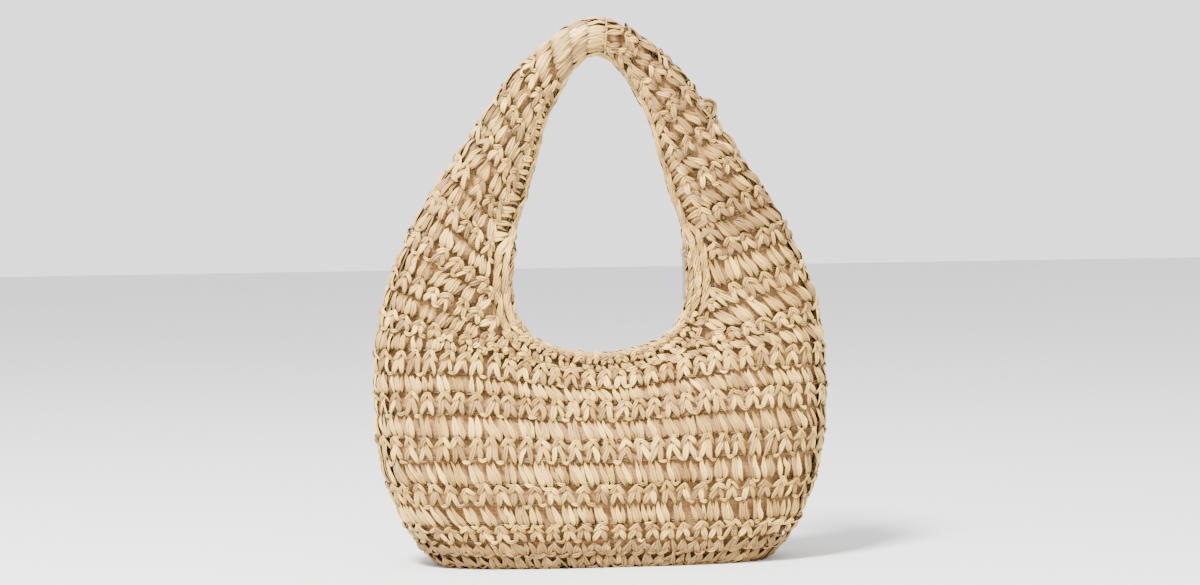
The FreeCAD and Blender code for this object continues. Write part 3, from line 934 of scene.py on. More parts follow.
LEG = Ribbon(
    ((-0.03, 0.84, -0.6), (-0.12, 0.58, 0.6), (-0.25, 0.28, 0.8), (-0.35, -0.02, -0.8)),
    (2.0, 3.8, 4.2, 2.2), roll=-8.0,
)
ROOF = Ribbon(
    ((-0.48, 0.58, -1.0), (-0.28, 0.75, 1.2), (-0.09, 0.95, 1.7), (0.07, 1.03, -0.4)),
    (1.4, 3.5, 3.2, 1.2), roll=16.0,
)
BLADE = Ribbon(
    ((-0.20, 1.02, -0.6), (-0.11, 0.68, 0.7), (0.06, 0.33, 1.0), (0.18, -0.02, -1.0)),
    (0.7, 3.3, 4.7, 1.9),
)
SLIVER = Ribbon(
    ((-0.16, 0.98, -1.8), (-0.10, 0.66, 0.0), (0.02, 0.36, 0.4), (0.16, 0.06, -1.0)),
    (1.0, 2.6, 2.8, 1.4), roll=35.0, often=0.75,
)
SPARE = Ribbon(
    ((0.30, 0.98, -1.8), (0.33, 0.66, -0.2), (0.40, 0.33, 0.2), (0.46, 0.02, -1.0)),
    (0.8, 2.4, 3.0, 1.6), often=0.35,
)
PACKING = Ribbon(
    ((0.0, 1.05, -2.2), (0.1, 0.66, -1.6), (-0.1, 0.33, -1.6), (0.0, -0.05, -2.2)),
    (4.0, 6.0, 6.0, 4.0),
)
HOOK = Ribbon(
    ((-0.20, 0.10, 0.2), (0.06, -0.01, 1.0), (0.30, 0.07, -0.4)), (1.8, 2.8, 1.8), roll=12.0, often=0.5,
)
UNDER = Ribbon(((-0.55, 0.08, -2.8), (0.0, 0.14, -2.4), (0.55, 0.08, -2.8)), (2.4, 3.2, 2.4))
CHAIN = Ribbon(
    ((-0.5, 0.10, -0.9), (-0.1, -0.02, 0.5), (0.3, 0.10, 0.3), (0.55, 0.16, -0.9)),
    (2.0, 3.2, 3.0, 1.8), roll=10.0,
)
EDGING = Ribbon(
    ((-0.60, 0.80, -0.5), (-0.2, 0.64, 0.6), (0.2, 0.40, 0.7), (0.60, 0.20, -0.8)),
    (1.6, 3.4, 3.6, 1.8), roll=10.0,
)
WRAPPING = Ribbon(
    ((0.0, -0.12, -0.8), (0.05, 0.33, -0.1), (-0.05, 0.67, -0.1), (0.0, 1.12, -0.8)),
    (4.0, 6.0, 6.0, 4.0),
)
CORD = Ribbon(((-0.6, 0.45, -0.2), (0.0, 0.55, 0.6), (0.6, 0.45, -0.2)), (1.6, 2.4, 1.6), roll=50.0)


class Kind(Enum):
    """The stitches of the bag."""

    ARCH = Stitch(11.6, (UNDER, LEG, mirrored(LEG), ROOF, mirrored(ROOF), moved(HOOK, 0.40)))
    LEAF = Stitch(
        11.6, (UNDER, moved(BLADE, -0.24), moved(SLIVER, -0.04), moved(BLADE, 0.14), SPARE, HOOK),
    )
    DENSE = Stitch(9.0, (
        UNDER, moved(BLADE, -0.3), moved(mirrored(BLADE), 0.2), moved(CHAIN, 0.1), moved(SLIVER, 0.45),
    ))
    FILL = Stitch(5.5, (PACKING, moved(PACKING, 0.5)))
    EDGE = Stitch(9.5, (UNDER, moved(BLADE, -0.20), moved(SLIVER, 0.25), moved(CHAIN, 0.2)))
    RIM = Stitch(10.5, (UNDER, LEG, mirrored(LEG), ROOF, mirrored(ROOF)))
    SIDE = Stitch(15.0, (
        UNDER, EDGING, moved(EDGING, 0.28), moved(EDGING, 0.55), moved(mirrored(EDGING), 0.8),
        moved(UNDER, 0.5),
    ))
    LIP = Stitch(14.0, (
        EDGING, moved(EDGING, 0.24), moved(mirrored(EDGING), 0.46), moved(EDGING, 0.68), moved(EDGING, 0.88),
    ))
    WRAP = Stitch(5.0, (WRAPPING,))
    SEAM = Stitch(7.0, (CORD,))


@dataclass(frozen=True)
class Spread:
    """Standard deviations of hand work: shares of the pitch or the size, and degrees of turn."""

    centre: float = 0.05
    tilt: float = 0.14
    swell: float = 0.07
    course: tuple[float, float, float] = (0.035, 0.035, 0.30)
    width: float = 0.13
    roll: float = 13.0
    twist: float = 16.0
    thickness: float = 0.12
    tint: float = 0.19


@dataclass
class StrawWork:
    """Ribbons laid so far, which become one piece.

    The sunk depths, in millimetres, are where the painted shade of the stitches above a ribbon starts and
    is full. Each ribbon's fibres start at a place of their own on a square of stock, in millimetres.
    """

    blank: RibbonBlank
    seed: int
    tone: float = 0.5
    spread: Spread = Spread()
    thickness: float = 1.15 * MM
    least_height: float = 0.38
    sunk: tuple[float, float] = (-0.4, 2.6)
    sunk_shade: float = 0.8
    own_shade: float = 0.9
    stock: float = 400.0
    smooth_degrees: float = 40.0
    places: list[np.ndarray] = field(default_factory=list)
    courses: list[np.ndarray] = field(default_factory=list)
    tints: list[np.ndarray] = field(default_factory=list)
    shades: list[np.ndarray] = field(default_factory=list)

    def __post_init__(self) -> None:
        """Starts the piece's own random draws."""
        self.draw = np.random.default_rng(self.seed)

    def lay_row(self, strip: Strip, stitch: Stitch, part: tuple[float, float] = (0.0, 1.0),
                lean: float = 0.0, looseness: float = 1.0) -> None:
        """Lays a row of stitches.

        Args:
            strip: The row's band of surface.
            stitch: What is laid.
            part: The share of the strip that is covered.
            lean: Extra lean of the stitches to the right at the top, in pitches.
            looseness: How uneven the stitches are.
        """
        count = max(1, round(strip.length() * (part[1] - part[0]) / (stitch.pitch * MM)))
        pitch = (part[1] - part[0]) / count
        draw, spread = self.draw, self.spread
        shift = draw.normal(0, spread.centre * looseness, count)
        centre = part[0] + pitch * (np.arange(count) + 0.5 + shift)
        rise = strip.point(centre, np.ones(count)) - strip.point(centre, np.zeros(count))
        height = np.linalg.norm(rise, axis=1)
        tall = height > self.least_height * np.median(height)
        tilt = draw.normal(lean, spread.tilt * looseness, count)
        swell = draw.normal(1.0, spread.swell * looseness, count)
        for ribbon in stitch.ribbons:
            shown = (draw.random(count) < ribbon.often) & tall
            course = np.array(ribbon.course)[None].repeat(count, axis=0)
            course = course + draw.normal(0, 1, course.shape) * np.array(spread.course) * looseness
            course[..., 0] += tilt[:, None] * (course[..., 1] - 0.5)
            course[..., 1] = 0.5 + (course[..., 1] - 0.5) * swell[:, None]
            course[..., 0] = centre[:, None] + course[..., 0] * pitch
            widths = np.array(ribbon.widths)[None] * draw.normal(1.0, spread.width, (count, 1))
            roll = np.radians(ribbon.roll + draw.normal(0, spread.roll * looseness, count))
            twist = np.radians(draw.normal(0, spread.twist * looseness, count))
            self._bend(strip, course[shown], widths[shown] * MM, roll[shown], twist[shown])

    def _bend(self, strip: Strip, course: np.ndarray, widths: np.ndarray,
              roll: np.ndarray, twist: np.ndarray) -> None:
        """Bends a blank along each course on the strip.

        Args:
            strip: The row's band of surface.
            course: Each ribbon's points: shares along and up the strip, and a lift in millimetres.
            widths: The ribbon's width at each point.
            roll: Each ribbon's turn about its own length.
            twist: How much more it turns towards its ends.
        """
        count, knots = course.shape[:2]
        if count == 0:
            return
        steps = np.linspace(0.0, 1.0, self.blank.spans + 1)
        marks = np.linspace(0.0, 1.0, knots)
        basis = curve_through(steps, marks, np.eye(knots), level=False)
        course = np.einsum("sk,nkc->nsc", basis, course)
        widths = np.einsum("sk,nk->ns", basis, widths)
        outward = strip.outward(course[..., 0], course[..., 1])
        lift = course[..., 2]
        middle = strip.point(course[..., 0], course[..., 1]) + outward * lift[..., None] * MM
        # Painted shade on ribbon points that lie below the surface, under the stitches above.
        sunk_painted_shade = ease(-lift, *self.sunk) * self.sunk_shade
        self.bend_along(middle, outward, widths, roll, twist, sunk_painted_shade)

    def bend_along(self, middle: np.ndarray, outward: np.ndarray, widths: np.ndarray,
                   roll: np.ndarray, twist: np.ndarray, sunk_painted_shade: np.ndarray) -> None:
        """Bends a blank along each middle line.

        Args:
            middle: Points of the middle lines.
            outward: The outer side at each point.
            widths: The ribbon's width at each point.
            roll: Each ribbon's turn about its own length.
            twist: How much more it turns towards its ends.
            sunk_painted_shade: How shaded each point is by the stitches around it.
        """
        steps = np.linspace(0.0, 1.0, self.blank.spans + 1)
        count = len(middle)
        course = unit(np.gradient(middle, axis=1))
        side = unit(np.cross(outward, course))
        turn = roll[:, None] + twist[:, None] * (steps[None] - 0.5) * 2
        face = unit(np.cross(course, side))
        wide = side * np.cos(turn)[..., None] + face * np.sin(turn)[..., None]
        thick = np.cross(course, wide)
        blank = self.blank.places
        ring = np.rint(blank[:, 0] * self.blank.spans).astype(int)
        flat = self.draw.normal(1.0, self.spread.thickness, (count, 1))
        aside = blank[None, :, 1] * widths[:, ring] / 2
        height = blank[None, :, 2] * self.thickness * flat
        places = middle[:, ring] + wide[:, ring] * aside[..., None] + thick[:, ring] * height[..., None]
        length = np.linalg.norm(np.diff(middle, axis=1), axis=2).sum(axis=1) / MM
        start = self.draw.random((count, 2)) * self.stock
        along = start[:, :1] + blank[None, :, 0] * length[:, None]
        across = start[:, 1:] + aside / MM
        tint = self.draw.normal(self.tone, self.spread.tint, count)
        self.places.append(places.reshape(-1, 3))
        self.courses.append(np.stack([along, across], axis=2).reshape(-1, 2))
        self.tints.append(np.repeat(tint, len(blank)))
        # Painted shade of each corner: the blank's painted shade of folds, edges and tips, joined with the
        # painted shade from the stitches around it.
        shade = 1 - (1 - self.own_shade * self.blank.shades[None]) * (1 - sunk_painted_shade[:, ring])
        self.shades.append(shade.ravel())

    def make(self, name: str) -> bpy.types.Object:
        """Makes one piece of all the ribbons, with their courses, tints and shades.

        Args:
            name: The piece's name.

        Returns:
            The piece.
        """
        places = np.concatenate(self.places)
        course = np.concatenate(self.courses)
        each = len(self.blank.places)
        count = len(places) // each
        corners = (np.arange(count)[:, None] * each + self.blank.corners[None]).ravel()
        totals = np.tile(self.blank.counts, count)
        mesh = bpy.data.meshes.new(name)
        mesh.vertices.add(len(places))
        mesh.loops.add(len(corners))
        mesh.polygons.add(len(totals))
        mesh.vertices.foreach_set("co", places.ravel())
        mesh.loops.foreach_set("vertex_index", corners)
        mesh.polygons.foreach_set("loop_start", np.concatenate(([0], np.cumsum(totals)[:-1])))
        mesh.update(calc_edges=True)
        mesh.validate()
        mesh.uv_layers.new(name="course").data.foreach_set("uv", course[corners].ravel())
        for word, values in (("tint", self.tints), ("shade", self.shades)):
            attribute = mesh.attributes.new(word, "FLOAT", "POINT")
            attribute.data.foreach_set("value", np.concatenate(values).astype(np.float32))
        piece = Bench.linked(name, mesh)
        Bench.smooth(piece, self.smooth_degrees)
        LOG.info("%s: %d ribbons, %d faces", name, count, len(totals))
        return piece


# ------------------------------------------------------------------------------ sub-assemblies
@dataclass(frozen=True)
class Hinge:
    """Line that the two lips of the mouth turn about."""

    place: Vector
    axis: Vector

    @staticmethod
    def of(name: str) -> "Hinge":
        """Reads the hinge of one of the frame's joints."""
        joint = next(item for item in frame["joints"] if item["name"] == name)
        return Hinge(Vector(joint["pos_m"]), Vector(joint["axis"]))


@dataclass(frozen=True)
class Knot:
    """Tuft of looped ribbon ends. Pairs are the least and the most that is drawn."""

    turn: float = 55.0
    sunk: float = 2.0 * MM
    count: int = 34
    sweep: tuple[float, float] = (1.6, 3.4)
    start: tuple[float, float] = (-2.4, 0.6)
    radius: tuple[float, float] = (1.5, 7.5)
    depth: tuple[float, float] = (-8.0, 8.0)
    flatness: float = 0.4
    width: float = 3.6 * MM
    width_spread: float = 0.15
    roll_spread: float = 0.4
    twist_share: float = 0.5
    # Painted shade on every ribbon of the tuft.
    sunk_painted_shade: float = 0.1


@dataclass
class CrochetShell:
    """All the straw crochet: base rounds, wall rows, arm rows, edging and the strap's join.

    A row gives its upper height in millimetres and its stitch; a band of edging gives two shares
    of its width, its stitch and its looseness. Turns are degrees round the mouth, 0 at the right
    and 90 on top. Sizes that are kept for each arm are under whether it is the left one.
    """

    form: BagForm
    blank: RibbonBlank
    finish: bpy.types.Material
    base_rows: tuple[tuple[float, Kind], ...] = ((10.5, Kind.DENSE), (20.0, Kind.DENSE))
    low_rows: tuple[tuple[float, Kind], ...] = (
        (31.5, Kind.ARCH), (46.5, Kind.LEAF), (60.5, Kind.ARCH), (78.0, Kind.LEAF), (94.5, Kind.ARCH),
    )
    high_rows: tuple[tuple[float, Kind], ...] = (
        (111.0, Kind.LEAF), (126.5, Kind.ARCH), (140.0, Kind.LEAF), (156.0, Kind.ARCH),
    )
    first_level: float = 1.0
    # Painted shade: the base rounds get the lowest tint, darker like the shaded underside of the bag.
    base_painted_shade_tone: float = 0.0
    base_looseness: float = 1.5
    disc_shares: tuple[float, ...] = (1.0, 0.80, 0.58, 0.34, 0.06)
    disc_length: float = 0.55
    disc_height: float = 2.6 * MM
    disc_looseness: float = 0.6
    turn_fill: float = 0.02
    shoulder_fill: float = 0.04
    arm_fill: float = 0.10
    arm_count: dict[bool, int] = field(default_factory=lambda: {False: 19, True: 17})
    # Tint of each arm's straw; the right arm's lower tint is painted shade, darker like the side away from
    # the key light.
    arm_tone_and_painted_shade: dict[bool, float] = field(default_factory=lambda: {False: 0.28, True: 0.45})
    arm_heights: tuple[float, float] = (15.8, 13.4)
    arm_looseness: float = 1.25
    arm_lean: dict[bool, float] = field(default_factory=lambda: {False: -0.22, True: 0.45})
    arm_split: float = 232.0 * MM
    lip_reach: tuple[float, float] = (3.0 * MM, 65.0 * MM)
    lip_depth: float = 14.0 * MM
    strap_bend: tuple[float, float] = (262.0 * MM, 318.0 * MM)
    mouth_turns: tuple[float, float] = (-197.0, 17.0)
    join_turns: tuple[float, float] = (88.2, 101.5)
    join_rounds: int = 3
    join_looseness: float = 0.7
    seam_turns: tuple[float, float] = (-0.9, 0.3)
    seam_looseness: float = 0.5
    knot: Knot = Knot()
    edging_tone: float = 0.42
    arm_bands: tuple[tuple[float, float, Kind, float], ...] = (
        (-0.35, 0.45, Kind.EDGE, 1.0), (0.25, 1.0, Kind.SIDE, 0.8),
    )
    corner_bands: tuple[tuple[float, float, Kind, float], ...] = (
        (0.0, 0.55, Kind.SIDE, 1.0), (0.45, 1.0, Kind.SIDE, 1.0),
    )
    middle_bands: tuple[tuple[float, float, Kind, float], ...] = (
        (0.0, 0.52, Kind.EDGE, 1.0), (0.48, 1.0, Kind.RIM, 1.0),
    )
    corner_turns: tuple[float, float] = (50.0, 45.0)
    corner_lap: float = 2.0
    overlap: float = 3.0
    hem: float = 0.3
    lip_roll: tuple[tuple[float, float], ...] = (
        (2.5, 14.0), (0.2, 13.4), (-0.8, 10.6), (1.0, 8.0), (6.0, 7.2),
    )
    lip_narrowing: float = 0.75
    edge_samples: int = 721
    join_samples: int = 241

    def __post_init__(self) -> None:
        """Sets up the row lines."""
        self.lines = RowLines(self.form)
        self.hinge = Hinge.of("mouth_open_front")

    def work(self, seed: int, tone: float = 0.5) -> StrawWork:
        """A fresh piece of straw work, with its own random draws and tone."""
        return StrawWork(self.blank, seed, tone)

    def build(self) -> None:
        """Builds every crocheted piece."""
        self.build_base()
        tops = {"front": self.work(31), "back": self.work(32)}
        self.build_walls(tops)
        arms = {left: self.build_arm(left, tops) for left in (False, True)}
        for side, left in (("right", False), ("left", True)):
            self.lay_arm_edging(arms[left], left)
            if not left:
                self.lay_knot(arms[left])
            piece = arms[left].make(f"crochet_arm_{side}")
            Bench.dress(piece, self.finish, "straw")
            self.bend_with_strap(piece)
            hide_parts(f"shoulder_{side}", f"strap_{side}")
        for side, work in tops.items():
            piece = work.make(f"crochet_{side}_upper")
            Bench.dress(piece, self.finish, "straw")
            self.hang_on_lip(piece, side)
        for side in ("front", "back"):
            self.build_edging(side)
        self.build_join()

    def bend_with_strap(self, piece: bpy.types.Object) -> None:
        """Bakes the piece's transform into its mesh."""
        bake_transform(piece)

    # ------------------------------------------------------------------ base and walls
    def build_base(self) -> None:
        """Two dense rounds round the base and dense rounds under it."""
        # The base rounds' low tint is painted shade.
        work = self.work(11, self.base_painted_shade_tone)
        low = self.first_level
        for high, kind in self.base_rows:
            strip = self.lines.round_strip(low * MM, high * MM)
            work.lay_row(strip, kind.value, looseness=self.base_looseness)
            low = high
        rim = self.lines.round_line(self.first_level * MM)
        loops = []
        for share in self.disc_shares:
            loop = rim * np.array([share + self.disc_length * (1 - share), share, 1.0])
            loop[:, 2] = self.disc_height
            loops.append(even_points(loop, len(rim)))
        for inner, outer in zip(loops[1:], loops[:-1]):
            strip = Strip(np.stack([inner, (inner + outer) / 2, outer]), True)
            work.lay_row(strip, Kind.DENSE.value, looseness=self.disc_looseness)
        piece = work.make("crochet_base_rounds")
        Bench.dress(piece, self.finish, "straw")
        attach(piece, "bag")
        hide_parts("crochet_base")

    def build_walls(self, tops: dict[str, StrawWork]) -> None:
        """Rounds of arches and leaves up to the mouth, in lower and upper pieces.

        Args:
            tops: Straw work of the upper pieces, by side.
        """
        fill = self.turn_fill
        halves = {"front": (0.0, 0.5), "back": (0.5, 1.0)}
        lows = {"front": self.work(21), "back": self.work(22)}
        low = self.base_rows[-1][0]
        for rows, works in ((self.low_rows, lows), (self.high_rows, tops)):
            for high, kind in rows:
                strip = self.lines.round_strip(low * MM, high * MM)
                for side, part in halves.items():
                    works[side].lay_row(strip, kind.value, part)
                works["front"].lay_row(strip, Kind.FILL.value, (-fill, fill))
                works["back"].lay_row(strip, Kind.FILL.value, (0.5 - fill, 0.5 + fill))
                low = high
        for side, work in lows.items():
            piece = work.make(f"crochet_{side}_lower")
            Bench.dress(piece, self.finish, "straw")
            self.hang_on_lip(piece, side)
            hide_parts(f"crochet_{side}")

    def hang_on_lip(self, piece: bpy.types.Object, side: str) -> None:
        """Bakes the piece's transform into its mesh and reckons how much each corner would follow its side's
        lip; the weights are not applied.
        """
        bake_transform(piece)
        places = np.array([vertex.co[:] for vertex in piece.data.vertices])
        weights = self.lip_weights(places).astype(np.float32)

    def lip_weights(self, places: np.ndarray) -> np.ndarray:
        """How much each place follows its lip.

        Args:
            places: Places of the piece's corners.

        Returns:
            Weights from 0, with the bag, to 1, with the lip.
        """
        rise = places[:, 2] - self.form.mouth_height
        angle = np.degrees(np.arctan2(rise, np.abs(places[:, 0])))
        inner = self.form.spread(angle)[0]
        reach = np.hypot(places[:, 0], rise) - inner
        axis, place = self.hinge.axis, self.hinge.place
        below = (places[:, 0] - place.x) * -axis.z + (places[:, 2] - place.z) * axis.x
        return (1 - ease(reach, *self.lip_reach)) * ease(below, 0.0, self.lip_depth)

    # ------------------------------------------------------------------ arms
    def build_arm(self, left: bool, tops: dict[str, StrawWork]) -> StrawWork:
        """Lays an arm's rows, leaves and arches in turn.

        Args:
            left: Whether it is the left arm.
            tops: Straw work of the walls' upper pieces, which the lowest rows go with.

        Returns:
            The arm's straw work.
        """
        # The right arm's lower tint is painted shade.
        work = self.work(42 if left else 41, self.arm_tone_and_painted_shade[left])
        start = self.high_rows[-1][0] * MM
        count = self.arm_count[left]
        heights = np.array([self.arm_heights[row % 2] for row in range(count)])
        shares = np.concatenate(([0.0], np.cumsum(heights) / heights.sum()))
        first, second = ("back", "front") if left else ("front", "back")
        for row in range(count):
            strip = self.lines.arm_strip(shares[row], shares[row + 1], start, left)
            kind = Kind.LEAF if row % 2 == 0 else Kind.ARCH
            lean = self.arm_lean[left] if kind is Kind.LEAF else 0.0
            if strip.loops[1, len(strip.loops[1]) // 2, 2] < self.arm_split:
                tops[first].lay_row(strip, kind.value, (0.0, 0.5), lean)
                tops[second].lay_row(strip, kind.value, (0.5, 1.0), lean)
                packed, fill = tops["front"], self.shoulder_fill
            else:
                work.lay_row(strip, kind.value, (0.0, 1.0), lean, self.arm_looseness)
                packed, fill = work, self.arm_fill
            packed.lay_row(strip, Kind.FILL.value, (0.5 - fill, 0.5 + fill))
        return work

    def lay_knot(self, work: StrawWork) -> None:
        """Lays the tuft of looped ribbon ends that stands out of the right arm's outer edge."""
        knot, draw = self.knot, work.draw
        turn = np.array([knot.turn])
        x, z = self.form.place(turn, self.form.ring(turn)[1] - knot.sunk)
        middle = np.array([x[0], 0.0, z[0]])
        each = (knot.count, 1)
        steps = np.linspace(0.0, 1.0, self.blank.spans + 1)[None]
        swing = steps * draw.uniform(*knot.sweep, each)
        swing = swing + draw.uniform(*knot.start, each)
        radius = draw.uniform(*knot.radius, each) * MM
        depth = draw.uniform(*knot.depth, each) * MM + 0 * swing
        bow = np.stack([radius * np.cos(swing), depth, radius * np.sin(swing)], axis=2)
        outward = unit(bow * np.array([1.0, knot.flatness, 1.0]))
        widths = np.full(swing.shape, knot.width) * draw.normal(1.0, knot.width_spread, each)
        roll = draw.normal(0, knot.roll_spread, knot.count)
        sunk_painted_shade = np.full(swing.shape, knot.sunk_painted_shade)
        work.bend_along(middle + bow, outward, widths, roll, roll * knot.twist_share, sunk_painted_shade)

    def face_strip(self, loops: list[np.ndarray], front: bool) -> Strip:
        """Open strip of lines on one face, in the order that turns its outer side outward."""
        ordered = np.array(loops)
        if not front:
            ordered = ordered[:, ::-1]
        return Strip(np.stack([even_points(loop, self.edge_samples) for loop in ordered]), False)

    def edging_strip(self, turns: tuple[float, float], low: float, high: float, front: bool) -> Strip:
        """Strip of the edging on one face.

        Args:
            turns: Where it starts and ends.
            low: Share of the edging's width, from its outer line, where the strip starts.
            high: Share where it ends; 1 is at the hole.
            front: Whether it is the front face.

        Returns:
            The strip.
        """
        turn = np.linspace(*turns, self.edge_samples)
        inner, _, band, closed = self.form.ring(turn)
        loops = []
        for share in np.linspace(low, high, 4):
            away = (1 - closed) * (1 - share) + closed * (1 - share) ** 2
            x, z = self.form.place(turn, inner + band * away)
            loops.append(both_faces(x, self.form.half_depth(x, z), z)[0 if front else 1])
        return self.face_strip(loops, front)

    def lay_bands(self, work: StrawWork, bands: tuple[tuple[float, float, Kind, float], ...],
                  turns: tuple[float, float], front: bool) -> None:
        """Lays bands of edging on one face between two turns."""
        for low, high, kind, looseness in bands:
            strip = self.edging_strip(turns, low, high, front)
            work.lay_row(strip, kind.value, looseness=looseness)

    def lay_arm_edging(self, work: StrawWork, left: bool) -> None:
        """Lays the edging of an arm's hole side, on both faces."""
        turns = (self.mouth_turns[1] - self.overlap, self.join_turns[0])
        if left:
            turns = (self.join_turns[1], 360.0 + self.mouth_turns[0] + self.overlap)
        for front in (True, False):
            self.lay_bands(work, self.arm_bands, turns, front)
        work.lay_row(self.hem_strip(turns), Kind.FILL.value)

    def hem_strip(self, turns: tuple[float, float]) -> Strip:
        """Strip across an arm's edge at the hole, from its front face to its back."""
        turn = np.linspace(*turns, self.edge_samples)
        inner, _, band, _ = self.form.ring(turn)
        loops = []
        for share in (-1.0, -0.5, 0.0, 0.5, 1.0):
            x, z = self.form.place(turn, inner + band * self.hem * share**2)
            y = self.form.half_depth(x, z) * np.sign(share)
            loops.append(even_points(np.stack([x, y, z], axis=1), self.edge_samples))
        return Strip(np.array(loops), False)

    def build_edging(self, side: str) -> None:
        """Edging round one face of the mouth, and the ribbons that roll over its rim."""
        front = side == "front"
        work = self.work(51 if front else 52, self.edging_tone)
        first, last = self.mouth_turns
        left_corner = first + self.corner_turns[0]
        right_corner = last - self.corner_turns[1]
        self.lay_bands(work, self.corner_bands, (first, left_corner), front)
        self.lay_bands(work, self.corner_bands, (right_corner, last), front)
        turns = (left_corner - self.corner_lap, right_corner + self.corner_lap)
        self.lay_bands(work, self.middle_bands, turns, front)
        for kind in (Kind.FILL, Kind.LIP):
            work.lay_row(self.lip_strip(front), kind.value)
        piece = work.make(f"crochet_edging_{side}")
        Bench.dress(piece, self.finish, "straw")
        self.hang_on_lip(piece, side)
        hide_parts(f"rim_{side}")

    def lip_strip(self, front: bool) -> Strip:
        """Strip that rolls over the rim of the mouth to the zip tape."""
        turn = np.linspace(*self.mouth_turns, self.edge_samples)
        inner, _, _, closed = self.form.ring(turn)
        loops = []
        for out, half in self.lip_roll:
            x, z = self.form.place(turn, inner + out * MM)
            y = half * MM * (1 - self.lip_narrowing * closed)
            loops.append(both_faces(x, y, z)[0 if front else 1])
        return self.face_strip(loops, front)

    # ------------------------------------------------------------------ join
    def join_strip(self, first: float, last: float) -> Strip:
        """Closed strip round the strap between two turns on its top."""
        loops = [
            even_points(self.form.section(turn, self.join_samples), 2 * self.join_samples - 1)
            for turn in np.linspace(first, last, 3)
        ]
        return Strip(np.array(loops), True)

    def build_join(self) -> None:
        """Smooth wrapped join on top of the strap, with a seam at its right end."""
        work = self.work(61)
        first, last = self.join_turns
        steps = np.linspace(first, last, self.join_rounds + 1)
        for low, high in zip(steps[:-1], steps[1:]):
            work.lay_row(self.join_strip(low, high), Kind.WRAP.value, looseness=self.join_looseness)
        seam = self.join_strip(*(first + turn for turn in self.seam_turns))
        work.lay_row(seam, Kind.SEAM.value, looseness=self.seam_looseness)
        piece = work.make("crochet_join")
        Bench.dress(piece, self.finish, "straw")
        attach(piece, "strap")
        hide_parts("strap_join")


@dataclass
class LiningSack:
    """Sewn cloth lining: two panels in the bag and a sleeve through the strap.

    A panel's rows are even up to a share of its way from the mouth to the outline, and closer past
    it, where the panel turns in.
    """

    form: BagForm
    finish: bpy.types.Material
    shell: CrochetShell
    inset: float = 5.0 * MM
    cloth: float = 0.8 * MM
    floor: float = 4.2 * MM
    mouth_gap: float = 5.0 * MM
    floor_slope: float = -0.5
    panel_columns: int = 161
    panel_rows: int = 24
    even_share: float = 0.92
    edge_shares: tuple[float, ...] = (0.95, 0.975, 0.99, 1.0)
    sleeve: tuple[float, float] = (16.0, 164.0)
    sleeve_rows: int = 121
    sleeve_round: int = 25
    smooth_degrees: float = 60.0

    def build(self) -> None:
        """Builds the panels and the sleeve."""
        for side in ("front", "back"):
            piece = self.panel(side)
            Bench.dress(piece, self.finish, "lining")
            self.shell.hang_on_lip(piece, side)
        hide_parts("lining_front", "lining_base")
        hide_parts("lining_back")
        self.build_sleeve()

    def panel(self, side: str) -> bpy.types.Object:
        """One panel, from the mouth to the outline, closed over the bottom to the middle.

        Args:
            side: Which side of the bag it is on.

        Returns:
            The panel.
        """
        turn = np.linspace(*self.shell.mouth_turns, self.panel_columns)
        inner, outer, _, _ = self.form.ring(turn)
        near = inner + self.mouth_gap
        rise = np.sin(np.radians(turn))
        lowest = (self.form.mouth_height - self.floor) / np.maximum(-rise, 1e-3)
        far = np.minimum(outer - self.inset, np.where(rise < self.floor_slope, lowest, outer))
        rows = []
        even = np.linspace(0, self.even_share, self.panel_rows)
        for along in np.concatenate((even, self.edge_shares)):
            x, z = self.form.place(turn, near + (far - near) * along)
            rows.append(both_faces(x, self.form.half_depth(x, z, self.inset), z)[0])
        rows.append(rows[-1] * np.array([1.0, 0.0, 1.0]))
        grid = np.array(rows)
        if side == "back":
            grid = (grid * np.array([1.0, -1.0, 1.0]))[::-1]
        piece = Bench.surface(f"lining_panel_{side}", grid, closed=False)
        Bench.modify(piece, "SOLIDIFY", thickness=self.cloth, offset=1.0)
        Bench.smooth(piece, self.smooth_degrees)
        return piece

    def build_sleeve(self) -> None:
        """Tube of cloth inside the strap."""
        turns = np.linspace(*self.sleeve, self.sleeve_rows)
        loops = [self.form.section(turn, self.sleeve_round, self.inset)[:-1] for turn in turns]
        piece = Bench.surface("lining_sleeve", np.array(loops), closed=True)
        Bench.modify(piece, "SOLIDIFY", thickness=self.cloth, offset=-1.0)
        Bench.smooth(piece, self.smooth_degrees)
        Bench.dress(piece, self.finish, "lining")
        self.shell.bend_with_strap(piece)
        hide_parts("shoulder_lining_left", "shoulder_lining_right",
                    "strap_lining_left", "strap_lining_right")


@dataclass
class Fittings:
    """Nodes of the frame that keep their own shape: board, pocket, zip, slider and puller."""

    finishes: dict[str, bpy.types.Material]
    groups: dict[str, tuple[str, ...]] = field(default_factory=lambda: {
        "board": ("base_board",),
        "lining": ("lining_pocket", "pocket_hem"),
        "zip_tape": ("zip_tape_front", "zip_tape_back", "zip_end_right", "zip_end_left"),
        "zip_teeth": ("zip_teeth_front", "zip_teeth_back"),
        "zip_metal": ("zip_top_stops", "zip_bottom_stop", "slider_body", "slider_bail"),
        "puller_metal": ("puller",),
    })

    def build(self) -> None:
        """Gives every node its finish."""
        for slot, names in self.groups.items():
            for name in names:
                node = frame["nodes"][name]
                node.data.materials.clear()
                node.data.materials.append(self.finishes[slot])
                LOG.info("%s: finish %s", name, slot)


@dataclass(frozen=True)
class Lamp:
    """Square area light that faces the bag."""

    name: str
    place: tuple[float, float, float]
    size: float
    power: float


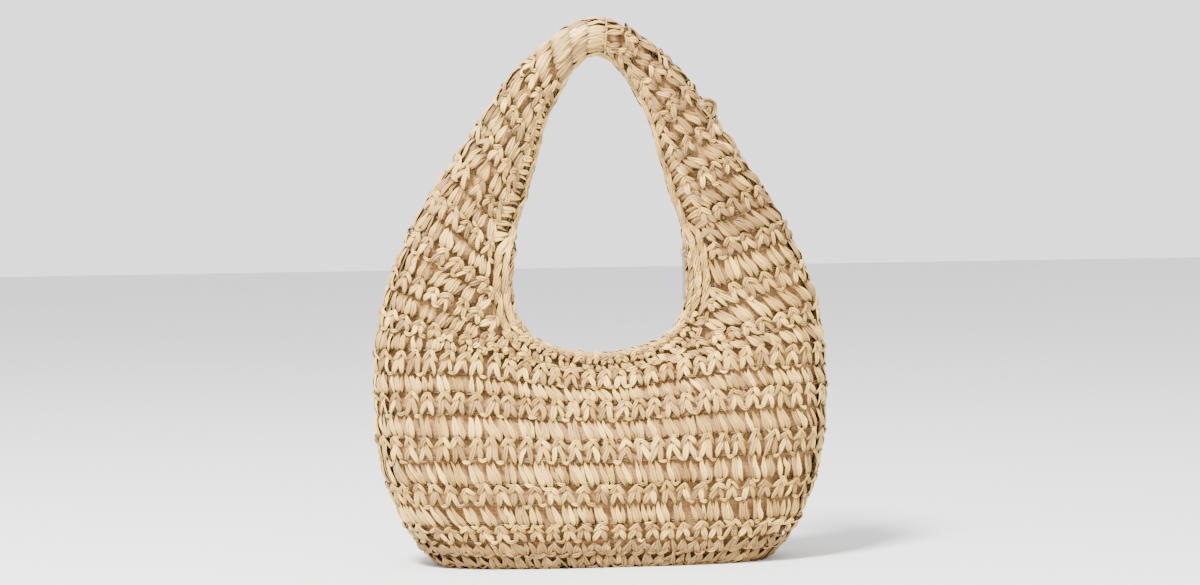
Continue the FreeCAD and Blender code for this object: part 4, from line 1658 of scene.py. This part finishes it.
@dataclass
class Studio:
    """Camera, lights and floor."""

    aim: Vector = field(default_factory=lambda: Vector((0.0, 0.0, 0.195)))
    distance: float = 2.2
    picture_width: float = 0.870
    azimuth: float = -5.5
    elevation: float = 2.0
    roll: float = -0.8
    sensor: float = 36.0
    floor_size: float = 16.0
    world_strength: float = 2.0
    lamps: tuple[Lamp, ...] = (
        Lamp("key", (-1.0, -1.3, 2.4), 0.6, 380.0),
        Lamp("fill", (1.3, -1.9, 0.7), 1.4, 8.0),
    )

    def build(self) -> None:
        """Builds the studio."""
        self.build_camera()
        self.build_floor()
        self.build_lights()

    def build_camera(self) -> None:
        """Places the camera in front of the bag, a little to its left."""
        data = bpy.data.cameras.new("camera")
        camera = Bench.linked("camera", data)
        turn, rise = math.radians(self.azimuth), math.radians(self.elevation)
        away = Vector((math.sin(turn) * math.cos(rise), -math.cos(turn) * math.cos(rise), math.sin(rise)))
        camera.location = self.aim + away * self.distance
        look = (self.aim - camera.location).to_track_quat("-Z", "Y").to_matrix().to_4x4()
        camera.matrix_world = Matrix.Translation(camera.location) @ look @ Matrix.Rotation(
            math.radians(self.roll), 4, "Z")
        data.sensor_width = self.sensor
        data.lens = self.sensor * self.distance / self.picture_width
        bpy.context.scene.camera = camera

    def build_floor(self) -> None:
        """Lays a plain pale floor."""
        Bench.clear()
        bpy.ops.mesh.primitive_plane_add(size=1.0, location=(0.0, 0.0, 0.0))
        floor = bpy.context.active_object
        floor.name = "studio_floor"
        floor.scale = (self.floor_size, self.floor_size, 1.0)
        Bench.settle(floor)
        floor.data.materials.append(FloorFinish().material())

    def build_lights(self) -> None:
        """Soft white world, a key light from above on the left and a weak fill on the right."""
        world = bpy.data.worlds.new("studio_world")
        world.use_nodes = True
        background = world.node_tree.nodes["Background"]
        background.inputs["Color"].default_value = (1.0, 1.0, 1.0, 1.0)
        background.inputs["Strength"].default_value = self.world_strength
        bpy.context.scene.world = world
        for lamp in self.lamps:
            light = bpy.data.lights.new(lamp.name, "AREA")
            light.size = lamp.size
            light.energy = lamp.power
            made = Bench.linked(lamp.name, light)
            made.location = lamp.place
            made.rotation_euler = (self.aim - made.location).to_track_quat("-Z", "Y").to_euler()


def main() -> None:
    """Builds the bag and the studio."""
    logging.basicConfig(level=logging.INFO, format="%(message)s")
    mouth = next(joint for joint in frame["joints"] if joint["name"] == "zip_travel")
    form = BagForm(mouth_height=mouth["pos_m"][2])
    blank = RibbonBlank()
    blank.model()
    lining = ClothFinish().material()
    metal = MetalFinish().material()
    satin = MetalFinish("satin_metal", srgb(168, 160, 150), srgb(134, 126, 116), 0.30).material()
    Studio().build()
    shell = CrochetShell(form, blank, StrawFinish().material())
    shell.build()
    LiningSack(form, lining, shell).build()
    Fittings({
        "board": BoardFinish().material(),
        "lining": lining,
        "zip_tape": TapeFinish().material(),
        "zip_teeth": TeethFinish().material(),
        "zip_metal": metal,
        "puller_metal": satin,
    }).build()


if __name__ == "__main__":
    main()
